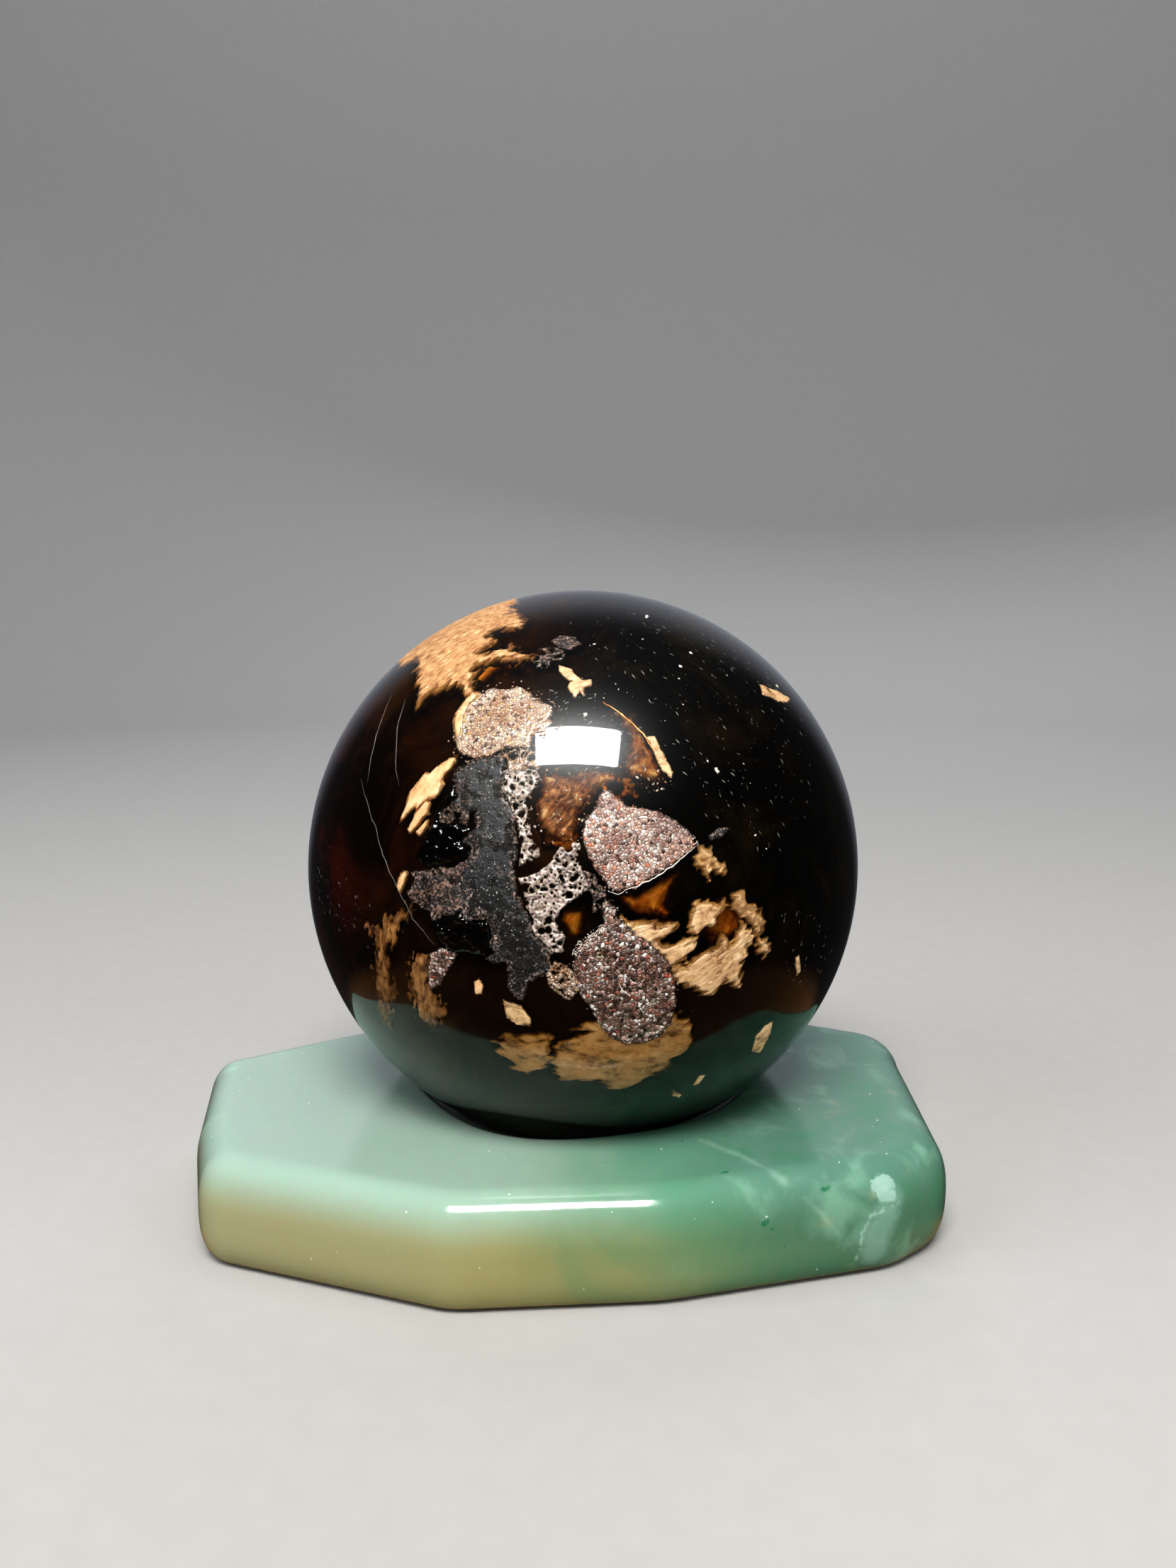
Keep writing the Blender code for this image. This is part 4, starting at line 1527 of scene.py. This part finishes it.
# %% Cream flows
flow_upper = on_ball(
    878, 1297, 890, 1303, 911, 1304, 928, 1308, 946, 1304, 958, 1306, 942, 1318, 925, 1326, 933, 1334,
    953, 1334, 971, 1328, 984, 1324, 978, 1339, 968, 1349, 969, 1356, 946, 1359, 933, 1349, 920, 1336,
    906, 1328, 895, 1319, 888, 1313,
)
flow_lower = on_ball(
    946, 1364, 969, 1366, 981, 1354, 997, 1346, 1016, 1341, 1022, 1323, 1027, 1326, 1029, 1336, 1039, 1328,
    1049, 1303, 1064, 1319, 1065, 1334, 1054, 1336, 1056, 1349, 1046, 1358, 1047, 1369, 1044, 1394,
    1022, 1384, 1006, 1402, 989, 1401, 981, 1392, 956, 1387, 951, 1376,
)
flow_wedge = on_ball(983, 1276, 1022, 1275, 1019, 1286, 996, 1311, 983, 1318, 973, 1306)
flow_chip = on_ball(1072, 1326, 1084, 1328, 1089, 1342, 1080, 1348, 1074, 1342)
flow_curl = on_ball(
    1039, 1266, 1050, 1262, 1052, 1276, 1068, 1284, 1080, 1293, 1080, 1306, 1070, 1318, 1064, 1304,
    1054, 1296, 1044, 1286, 1034, 1276,
)
flow_flakes = on_ball(
    990, 1196, 1003, 1200, 1012, 1214, 1024, 1222, 1020, 1234, 1006, 1226, 1000, 1238, 990, 1230, 986, 1212,
)
for name, outline, seed, cut in (
    ("flow_upper", flow_upper, 91, None), ("flow_lower", flow_lower, 92, None),
    ("flow_wedge", flow_wedge, 93, None), ("flow_chip", flow_chip, 94, None),
    ("flow_curl", flow_curl, 95, lace_holes(96, 1.6, 0.5)),
    ("flow_flakes", flow_flakes, 97, lace_holes(98, 1.8, 0.5)),
):
    inlay(name, outline, cream_flow, flush(0.06, 0.2, 0.35, 0.09, 0.9, seed), bowl(1.2), (0.6, 0.20, seed),
          cut, 0.00013, skirt=(0.4, 1.6), comb=((0.9, 0.0, 0.42), 0.4, 0.5))
print("six pieces of cream flow")

# %% [markdown]
# The glows are sheets a millimetre or so down, painted pale to orange with the ember finish: a painted glow.
# Nothing in them shines, and the amber over them deepens their colour.

# %% Glows under the flows
glow_middle = on_ball(
    862, 1262, 900, 1250, 950, 1222, 982, 1204, 976, 1240, 952, 1272, 968, 1300, 940, 1306, 900, 1308,
    880, 1294,
)
glow_right = on_ball(
    1000, 1262, 1040, 1258, 1070, 1290, 1074, 1326, 1050, 1340, 1010, 1346, 985, 1330, 980, 1300,
)
inlay("glow_middle", glow_middle, ember, sunken(1.2, 0.6, 2.6, 101, 1.5, 2.4), bowl(0.6), (1.2, 0.5, 102))
inlay("glow_right", glow_right, ember, sunken(1.3, 0.7, 2.0, 103, 1.4, 2.4), bowl(0.6), (1.2, 0.5, 104))
window_glow = on_ball(790, 1284, 826, 1280, 830, 1306, 818, 1334, 796, 1330, 784, 1300)
inlay("window_glow", window_glow, ember, sunken(1.6, 0.5, 1.5, 105, 1.0, 1.2), bowl(0.6), (0.9, 0.2, 106))
flake_glow = on_ball(836, 1092, 862, 1086, 892, 1096, 904, 1118, 896, 1142, 870, 1128, 850, 1112)
inlay("flake_glow", flake_glow, ember, sunken(0.8, 1.0, 1.1, 107, 1.0), bowl(0.6), (0.5, 0.4, 108),
      lace_holes(109, 2.2, 0.8))
print("four glows")

# %% [markdown]
# ## The dull sheet low at the front
#
# Below the pods a broad tan sheet lies under the skin. It is made like the glows, but shallow and wide, so
# the polish runs unbroken over it and the slab below is mirrored across it.

# %% Low tan sheets
sheet_left = on_ball(
    691, 1473, 712, 1464, 736, 1461, 760, 1464, 777, 1468, 781, 1500, 766, 1511, 741, 1520, 715, 1500,
    701, 1484,
)
sheet_right = on_ball(
    784, 1474, 816, 1458, 838, 1444, 850, 1430, 900, 1420, 945, 1420, 975, 1439, 986, 1460, 975, 1482,
    954, 1496, 943, 1513, 915, 1521, 904, 1529, 888, 1543, 869, 1544, 841, 1532, 818, 1530, 790, 1524,
    780, 1511, 779, 1490,
)
inlay("sheet_left", sheet_left, dull_tan, sunken(0.30, 0.28, 1.4, 111, 0.7), bowl(1.2), (1.2, 0.6, 112),
      comb=((0.95, 0.0, 0.2), 0.5, 0.9))
inlay("sheet_right", sheet_right, dull_tan, sunken(0.28, 0.28, 1.4, 113, 0.7), bowl(1.4), (1.2, 0.6, 114),
      comb=((0.95, 0.0, 0.2), 0.5, 0.9))
print("two low sheets")

# %% [markdown]
# ## The lower left
#
# Here the crust is in streaks that run steeply down, with one grey chip of sand at their head.

# %% Streaks and a chip
streak_tan = crust("streak_tan", (
    (0.00, 40, 22, 10), (0.35, 120, 78, 42), (0.65, 190, 142, 90), (1.00, 230, 186, 130),
), (0, 16, 0), (1, 1, 7), 0.0007, 0.5, 0.00025, (0.34, 0.66), (0.25, 0.9))
streak_left = on_ball(
    516, 1308, 536, 1302, 559, 1289, 576, 1278, 582, 1284, 566, 1304, 552, 1330, 545, 1362, 556, 1400,
    549, 1449, 536, 1440, 530, 1400, 524, 1366, 530, 1334, 520, 1318,
)
streak_right = on_ball(
    578, 1350, 591, 1343, 607, 1350, 604, 1372, 610, 1400, 624, 1414, 628, 1436, 616, 1450, 600, 1444,
    588, 1436, 578, 1404, 574, 1376,
)
sand_chip = on_ball(607, 1345, 621, 1337, 646, 1346, 634, 1366, 620, 1390, 606, 1398, 602, 1371)
inlay("streak_left", streak_left, streak_tan, sunken(0.12, 0.30, 0.8, 121, 0.5), bowl(0.9), (0.6, 0.4, 122),
      comb=((0.28, 0.1, 0.95), 0.3, 1.2))
inlay("streak_right", streak_right, streak_tan, sunken(0.05, 0.25, 0.8, 123, 0.4), bowl(0.9), (0.6, 0.4, 124),
      comb=((0.28, 0.1, 0.95), 0.3, 1.0))
inlay("sand_chip", sand_chip, brown_sand, grainy(seed=125), bowl(1.2), (0.5, 0.15, 126), grid=0.00014)
print("two streaks and a chip")

# %% [markdown]
# ## Small pieces at the front
#
# The last pieces are tan ovals, golden flakes and pale nodules near the top. They share one shape of plate,
# so each one is a line in a table: a name, a finish and an outline.

# %% Small pieces
SMALL_PIECES = (
    ("tan_oval", cream_leaf, (668, 1384, 676, 1380, 682, 1392, 680, 1404, 670, 1402)),
    ("tan_tag", dull_tan, (709, 1410, 724, 1416, 736, 1420, 750, 1440, 748, 1448, 728, 1446, 714, 1436)),
    ("gold_flake", cream_flow, (788, 937, 806, 944, 824, 962, 826, 984, 818, 978, 810, 962, 796, 956,
                                789, 948)),
    ("gold_flake_low", cream_flow, (808, 958, 834, 958, 836, 966, 820, 972, 812, 986, 800, 968)),
    ("cream_sliver", cream_flow, (913, 1040, 924, 1038, 936, 1062, 950, 1090, 948, 1100, 934, 1086,
                                  922, 1062)),
    ("right_flake", cream_flow, (1071, 964, 1084, 970, 1100, 976, 1115, 986, 1112, 992, 1098, 990, 1088, 984,
                                 1076, 980)),
    ("low_flake", dull_tan, (1090, 1441, 1088, 1456, 1072, 1486, 1060, 1484, 1066, 1462, 1080, 1446)),
    ("low_flake_small", dull_tan, (986, 1518, 996, 1516, 984, 1532, 976, 1532)),
    ("low_flake_tiny", dull_tan, (950, 1538, 962, 1544, 958, 1549, 948, 1546)),
    ("nodule_large", umber, (751, 930, 762, 914, 782, 912, 798, 918, 796, 930, 780, 932, 772, 942, 756, 942)),
    ("nodule_small", umber, (777, 904, 790, 896, 812, 898, 820, 908, 806, 917, 788, 914)),
    ("grey_chip", charcoal, (1000, 1180, 1014, 1168, 1030, 1168, 1020, 1180, 1004, 1186)),
    ("crumb_patch", tan_sand, (770, 1372, 782, 1356, 800, 1362, 816, 1378, 818, 1396, 804, 1412, 786, 1402,
                               774, 1392)),
    ("shadow_flake", dull_tan, (1122, 1350, 1128, 1348, 1130, 1370, 1124, 1378)),
)
for seed, (name, finish, pixels) in enumerate(SMALL_PIECES, 131):
    holes = lace_holes(seed + 40, 1.2, 0.5) if name in ("crumb_patch", "nodule_large") else None
    inlay(name, on_ball(*pixels), finish, flush(0.05, 0.14, 0.2, 0.05, 0.5, seed), bowl(0.7),
          (0.5, 0.16, seed), holes, 0.00011)
print(len(SMALL_PIECES), "small pieces")

# %% [markdown]
# Cracks show as thin pale or dark lines, and chipped rims as bright ones. Each is a thread with its width
# in mm.

# %% Cracks and bright rims
SCRATCHES = (
    ("crack_left", (509, 1098, 528, 1160, 545, 1220, 562, 1254, 583, 1296, 614, 1334), 0.06),
    ("crack_low", (655, 1300, 648, 1322, 640, 1345), 0.10),
    ("arc_left_a", (556, 975, 540, 1010, 528, 1050, 519, 1104), 0.03),
    ("arc_left_b", (573, 985, 562, 1020, 558, 1060, 562, 1110), 0.03),
    ("pod_rim", (984, 1192, 964, 1210, 934, 1232, 900, 1250, 872, 1261, 858, 1256), 0.14),
    ("glass_arc_a", (872, 1384, 878, 1398, 890, 1404, 902, 1400), 0.16),
    ("glass_arc_b", (884, 1372, 890, 1384, 900, 1388, 911, 1380), 0.14),
    ("sliver_right", (850, 990, 880, 1010, 908, 1036, 922, 1060), 0.22),
    ("crack_right", (990, 1060, 1010, 1090, 1034, 1130, 1050, 1170), 0.14),
)
pale_scratch, tree, shader, place = new_finish("pale_scratch", Roughness=0.5)
scratch_noise = noise_at(tree, place, 0.002, 3.0)
tree.links.new(mix_colours(tree, scratch_noise, tone(40, 44, 40), tone(190, 196, 186)),
               shader.inputs["Base Color"])
own_finish = {"crack_right": jet, "sliver_right": ember, "crack_left": pale_scratch}
for seed, (name, pixels, width) in enumerate(SCRATCHES, 161):
    thread(name, on_ball(*pixels), own_finish.get(name, white_grit), width, 0.5, 0.02, 0.25, 90, seed)
print(len(SCRATCHES), "cracks and rims")

# %% [markdown]
# White crumbs and dust are swarms too. The large spots are placed one by one, the dust only by its region.

# %% White spots and dust
white_spots = on_ball(912, 871, 913, 869, 1010, 1085, 1012, 1088, 960, 940, 974, 921, 826, 1008, 1096, 968)
crumbs("white_spots", white_spots, white_grit, 0.7, 0.5, 0.02, 171)
dust_region = on_ball(830, 880, 960, 900, 1080, 1000, 1120, 1140, 1060, 1240, 980, 1140, 900, 1040, 820, 960)
dust_way = scatter(dust_region, 50, 172)
crumbs("right_dust", dust_way, white_grit, scatter_sizes(len(dust_way), 173, 0.06, 0.30, 3), 0.4, 0.01, 174,
       1.8)
print(len(white_spots), "white spots and", len(dust_way), "grains of dust")

# %% [markdown]
# Fine short scratches follow the way the ball was turned while it was ground. They are long thin grains,
# laid roughly along a flow, in four swarms: over the dark right side, at the left rim, round the lamp's
# image and low at the right rim.

# %% Swarms of scratches
for seed, (name, pixels, count, flow, length) in enumerate((
    ("scratches_right", (800, 880, 900, 862, 1010, 880, 1120, 990, 1150, 1120, 1090, 1250, 1000, 1180,
                         960, 1080, 880, 980, 820, 940), 300, (0.5, 0.0, -0.85), 8.0),
    ("scratches_left", (440, 1240, 460, 1180, 500, 1240, 560, 1310, 520, 1340, 470, 1310), 70,
     (0.6, 0.0, -0.8), 7.0),
    ("scratches_lamp", (740, 1000, 800, 960, 860, 980, 920, 1040, 900, 1110, 840, 1100, 780, 1096), 160,
     (0.8, 0.0, 0.6), 8.0),
    ("scratches_low", (1100, 1290, 1150, 1280, 1180, 1330, 1140, 1400, 1100, 1380), 60, (0.4, 0.0, 0.9), 6.0),
), 200):
    way = scatter(on_ball(*pixels), count, seed)
    crumbs(name, way, pale_scratch, scatter_sizes(len(way), seed, 0.035, 0.10), 0.3, 0.008, seed, length,
           flow)

# %% [markdown]
# ## The sides that the photograph doesn't show
#
# Nothing is known of the back, so it is guessed: the same few kinds of inclusion, about as many, gathered
# in one loose cluster as at the front, with the orange crust carried on from the upper left. Their outlines
# are drawn by noise round a circle. Each kind keeps the same top, floor and rim that it has at the front.

# %% Outlines drawn by noise, and kinds of plate
BACK_GRID = 0.00026
NO_SKIRT = (0.0, 1.0)
LOBE_POINTS = 48
LOBE_VARY = 0.75
LOBE_LEAST = 0.35


def heading(azimuth, elevation):
    """A direction from the ball's middle: degrees round from the front towards the right, and degrees up."""
    turn, rise = math.radians(azimuth), math.radians(elevation)
    return np.array([math.sin(turn) * math.cos(rise), -math.cos(turn) * math.cos(rise), math.sin(rise)])


def lobed(direction, size, longer, turn, seed):
    """A closed outline: radius = size in mm, more or less by noise, then drawn out and turned."""
    axes = chart_axes(unit(direction)[None])
    angle = np.linspace(0, 2 * math.pi, LOBE_POINTS, endpoint=False)
    circle = np.stack([np.cos(angle), np.sin(angle), np.full(LOBE_POINTS, 3.7 * seed)], -1)
    radius = size * MM * np.maximum(1 + LOBE_VARY * rough_noise(circle, 0.6, seed, 4), LOBE_LEAST)
    wide = radius * np.cos(angle) * math.sqrt(longer)
    tall = radius * np.sin(angle) / math.sqrt(longer)
    across = wide * math.cos(turn) - tall * math.sin(turn)
    up = wide * math.sin(turn) + tall * math.cos(turn)
    return from_chart(axes, np.stack([across, up], -1))


def shape_of(kind, seed):
    """Top, floor, size and strength of the ragged rim, holes, skirt and comb of a kind of inclusion."""
    return {
        "crust": (flush(0.05, 0.16, 0.35, 0.05, 0.5), bowl(1.5), (0.8, 0.25), None, (1.0, 1.6),
                  ((0.5, 0.5, 0.7), 0.32, 0.75)),
        "sand": (grainy(seed=seed), bowl(2.0), (0.6, 0.18), None, NO_SKIRT, None),
        "rock": (rock_top(0.04, seed, 0.09), bowl(2.0), (1.0, 0.42), None, NO_SKIRT, None),
        "lace": (flush(0.10, 0.2, 0.2, 0.07, 0.5), bowl(0.9), (0.7, 0.25), lace_holes(seed), NO_SKIRT, None),
        "flow": (flush(0.06, 0.2, 0.35, 0.09, 0.9, seed), bowl(1.2), (0.6, 0.25), None, (0.4, 1.6),
                 ((0.3, 0.8, 0.4), 0.4, 0.5)),
        "glow": (sunken(1.2, 0.5, 2.0, seed, 1.5, 1.8), bowl(0.6), (1.2, 0.5), None, NO_SKIRT, None),
        "sheet": (sunken(0.30, 0.28, 1.4, seed, 0.7), bowl(1.2), (1.2, 0.6), None, NO_SKIRT,
                  ((0.7, 0.7, 0.1), 0.5, 0.9)),
        "glass": (glassy(seed), bowl(1.2), (0.8, 0.2), None, NO_SKIRT, None),
        "flake": (flush(0.05, 0.14, 0.2, 0.05, 0.5, seed), bowl(0.7), (0.5, 0.16), None, NO_SKIRT, None),
    }[kind]


def guessed(name, finish, kind, place, size, longer, turn, seed):
    """One inclusion of a kind, at an azimuth and elevation in degrees. Gives its outline."""
    top, floor, ragged, cut, skirt, comb = shape_of(kind, seed)
    outline = lobed(heading(*place), size, longer, turn, seed)
    inlay(name, outline, finish, top, floor, (*ragged, seed), cut, BACK_GRID, skirt, comb)
    return outline


print("grid at the back: %.2f mm" % (BACK_GRID / MM))

# %% [markdown]
# One large crust, a rock with lace beside it, three pods of sand and a few flows and sheets make the
# cluster. Small flakes are strewn round it.

# %% Guessed inclusions at the back
GUESSED = (
    ("back_crust", orange_felt, "crust", (216, 34), 12.0, 1.5, 0.5, 303),
    ("back_crust_low", orange_felt, "crust", (242, 20), 5.5, 1.9, 0.9, 304),
    ("back_rock", charcoal, "rock", (190, 4), 8.5, 2.6, 1.3, 311),
    ("back_rock_arm", umber, "rock", (202, 0), 5.6, 1.5, 0.2, 312),
    ("back_lace", lace, "lace", (177, 3), 5.6, 2.2, 1.2, 313),
    ("back_lace_low", lace, "lace", (180, -14), 4.4, 1.6, 0.3, 314),
    ("back_pod", pink_sand, "sand", (157, 14), 8.2, 1.3, 0.6, 321),
    ("back_pod_low", brown_sand, "sand", (162, -14), 7.0, 1.4, -0.9, 322),
    ("side_pod", tan_sand, "sand", (262, 42), 5.0, 1.2, 0.3, 323),
    ("back_glass", jet, "glass", (206, -14), 4.6, 1.4, 0.4, 331),
    ("side_flow", cream_flow, "flow", (112, 24), 6.6, 2.6, 0.7, 341),
    ("side_flow_low", cream_flow, "flow", (122, 4), 5.6, 2.2, 0.3, 342),
    ("side_glow", ember, "glow", (116, 13), 7.0, 1.6, 0.4, 343),
    ("back_glow", ember, "glow", (180, 26), 6.0, 1.6, 0.1, 344),
    ("side_sheet", dull_tan, "sheet", (100, -20), 7.0, 1.9, 0.2, 351),
    ("back_sheet", dull_tan, "sheet", (232, -22), 9.0, 1.8, 0.2, 352),
    ("side_streak", streak_tan, "sheet", (264, -6), 5.0, 3.2, 1.3, 353),
    ("top_leaf", cream_leaf, "flow", (148, 56), 5.0, 2.2, 0.9, 361),
    ("top_nodule", umber, "rock", (120, 76), 4.0, 1.5, 0.3, 362),
)
outlines = {}
for name, *recipe in GUESSED:
    outlines[name] = guessed(name, *recipe)
for seed, (azimuth, elevation, size) in enumerate((
    (92, 36, 1.2), (99, -2, 1.0), (108, 48, 1.5), (134, 36, 1.1), (140, -24, 1.4), (146, 44, 0.8),
    (187, 50, 1.6), (202, 62, 1.1), (222, 4, 1.3), (246, -8, 1.2), (252, 22, 0.9), (256, 58, 1.3),
    (208, -32, 1.0),
), 371):
    finish = (cream_leaf, cream_flow, tan_sand, dull_tan, charcoal, cream_leaf)[seed % 6]
    guessed(f"back_flake_{seed - 370}", finish, "flake", (azimuth, elevation), size, 2.0, 0.7 * seed, seed)
print(len(GUESSED), "guessed pieces and their flakes")

# %% [markdown]
# Loose grains, scratches, dust and one crack finish the hidden sides, made as they are at the front.

# %% Guessed grains, dust and scratches
for pod, finish, count, seed in (
    ("back_pod", pink_sand, 200, 391), ("back_pod_low", brown_sand, 200, 392),
    ("side_pod", tan_sand, 120, 393),
):
    way = scatter(outlines[pod], count, seed, 0.5)
    sizes = np.random.default_rng(seed).uniform(0.14, 0.42, len(way))
    crumbs(f"{pod}_grains", way, finish, sizes, 0.6, 0.04, seed)
for seed, (azimuth, elevation, size, count) in enumerate((
    (135, 55, 15, 170), (225, 10, 13, 120), (100, 10, 12, 120),
), 401):
    way = scatter(lobed(heading(azimuth, elevation), size, 1.4, 0.5, seed), count, seed)
    widths = scatter_sizes(len(way), seed, 0.035, 0.10)
    crumbs(f"back_scratches_{seed - 400}", way, pale_scratch, widths, 0.3, 0.008, seed, 5.0,
           heading(azimuth + 60, 30))
dust_way = scatter(lobed(heading(150, 30), 24, 1.3, 0.2, 411), 90, 411)
crumbs("back_dust", dust_way, white_grit, scatter_sizes(len(dust_way), 412, 0.06, 0.3, 3), 0.4, 0.01, 413)
crack_way = [heading(232, 38), heading(240, 20), heading(244, 2), heading(238, -14)]
thread("back_crack", crack_way, pale_scratch, 0.08, 0.5, 0.02, 0.3, 90, 421)

# %% [markdown]
# ## Floor and light
#
# The stage is one round sheet of pale paper: a floor that curves up into a wall on every side, so no edge
# shows behind the stone from any view. It could be a large flat plane, but then a horizon line would cut
# the picture.

# %% Paper sweep
SWEEP_FLAT = 0.75
SWEEP_CURVE = 0.55
SWEEP_TOP = 1.9
SWEEP_AROUND = 96
SWEEP_SINK = 0.0001
paper, tree, shader, place = new_finish("paper", Roughness=0.75)
fibres = noise_at(tree, place, 0.004, 4.0)
tree.links.new(mix_colours(tree, fibres, (0.37, 0.366, 0.362), (0.41, 0.406, 0.402)),
               shader.inputs["Base Color"])
turn = np.linspace(0, math.pi / 2, 24)
reach = np.concatenate([[0.001, 0.3], SWEEP_FLAT + SWEEP_CURVE * np.sin(turn), [SWEEP_FLAT + SWEEP_CURVE]])
level = np.concatenate([[0, 0], SWEEP_CURVE * (1 - np.cos(turn)), [SWEEP_TOP]]) - SWEEP_SINK
around = np.linspace(0, 2 * math.pi, SWEEP_AROUND, endpoint=False)
sheet = np.stack([reach[:, None] * np.cos(around), reach[:, None] * np.sin(around),
                  np.broadcast_to(level[:, None], (len(level), SWEEP_AROUND))], -1).reshape(-1, 3)
sweep_mesh = bpy.data.meshes.new("paper_sweep")
sweep_mesh.from_pydata(sheet.tolist(), [], ring_quads(len(level), SWEEP_AROUND).tolist())
sweep_mesh.materials.append(paper)
sweep_mesh.shade_smooth()
sweep = bpy.data.objects.new("paper_sweep", sweep_mesh)
sweep.visible_glossy = False
bpy.context.scene.collection.objects.link(sweep)
print("paper sweep: %.1f m across" % (2 * (SWEEP_FLAT + SWEEP_CURVE)))

# %% [markdown]
# Besides the slab, the polish mirrors a soft surround: pale behind, dark in front, and warm and dim below.
# It is the world's own colour, by direction.

# %% Surround
world = bpy.data.worlds.new("surround")
world.use_nodes = True
tree = world.node_tree
background = tree.nodes["Background"]
way = tree.nodes.new("ShaderNodeTexCoord").outputs["Generated"]
parts = add(tree, "SeparateXYZ", {}, Vector=way)
share = add(tree, "MapRange", {}, Value=parts.outputs["Z"], From_Min=-1.0, From_Max=1.0)
behind = colour_ramp(tree, share.outputs["Result"], (
    (0.00, (0.10, 0.05, 0.02)), (0.23, (0.36, 0.17, 0.065)), (0.255, (0.23, 0.24, 0.28)),
    (0.55, (0.30, 0.31, 0.35)), (0.80, (0.36, 0.37, 0.41)), (1.00, (0.28, 0.29, 0.33)),
))
in_front = colour_ramp(tree, share.outputs["Result"], (
    (0.00, (0.06, 0.03, 0.015)), (0.24, (0.22, 0.11, 0.045)), (0.27, (0.02, 0.02, 0.02)),
    (0.75, (0.035, 0.035, 0.035)), (1.00, (0.10, 0.105, 0.12)),
))
lit_side = math_node(tree, "MULTIPLY_ADD", parts.outputs["Z"], 0.3, parts.outputs["Y"])
surround = mix_colours(tree, steps_between(tree, lit_side, 0.74, 1.02), in_front, behind)
tree.links.new(surround, background.inputs["Color"])
background.inputs["Strength"].default_value = 1.0
bpy.context.scene.world = world
print("surround with", len(tree.nodes), "nodes")

# %% [markdown]
# One lamp, a ceiling panel, shows on the ball as a small bright rectangle. The camera's ray to that spot,
# bounced off the ball, points at it. A second lamp there is only for mirrors, so the image can be brighter
# than the light. The other lamps only fill, and the polish doesn't mirror them.

# %% Lamps


def soft_lamp(name, place, aim, width, depth, watts, colour, in_mirror=True, in_light=True):
    """A rectangular lamp at a place, turned to face a point. It can be out of mirrors, or only in them."""
    data = bpy.data.lights.new(name, "AREA")
    data.shape = "RECTANGLE"
    data.size = width
    data.size_y = depth
    data.energy = watts
    data.color = colour
    lamp = bpy.data.objects.new(name, data)
    lamp.location = place
    lamp.rotation_euler = (Vector(aim) - Vector(place)).to_track_quat("-Z", "Y").to_euler()
    lamp.visible_glossy = in_mirror
    lamp.visible_transmission = in_mirror
    lamp.visible_diffuse = in_light
    bpy.context.scene.collection.objects.link(lamp)


LAMP_PIXEL = (815, 1056)
LAMP_DISTANCE = 0.60
PANEL_SIZE = (0.315, 0.165)
lamp_normal = ball_directions(LAMP_PIXEL)
lamp_ray = pixel_rays(LAMP_PIXEL)
lamp_way = lamp_ray - 2 * (lamp_ray @ lamp_normal) * lamp_normal
lamp_place = CENTRE + lamp_way * LAMP_DISTANCE
soft_lamp("panel", lamp_place, CENTRE, *PANEL_SIZE, 4.3, (1.0, 0.96, 0.90))
soft_lamp("panel_image", lamp_place + lamp_way * 0.01, CENTRE, *PANEL_SIZE, 5.0, (0.90, 0.98, 1.0), True,
          False)
soft_lamp("fill_left", CENTRE + (-0.75, -0.35, 0.55), CENTRE, 0.6, 0.6, 4.0, (0.92, 0.96, 1.0), False)
soft_lamp("fill_right", CENTRE + (0.75, -0.45, 0.35), CENTRE, 0.5, 0.5, 2.0, (1.0, 0.97, 0.92), False)
soft_lamp("fill_back", CENTRE + (0.25, 0.85, 0.55), CENTRE, 0.7, 0.5, 2.4, (0.96, 0.98, 1.0), False)
soft_lamp("wall_wash", (0.0, 0.55, 1.5), (0.0, 1.3, 0.5), 1.2, 0.5, 6.5, (0.92, 0.95, 1.0), False)
bpy.context.scene.view_settings.view_transform = "Standard"
bpy.context.scene.view_settings.look = "Medium High Contrast"
print("panel at", lamp_place.round(3))
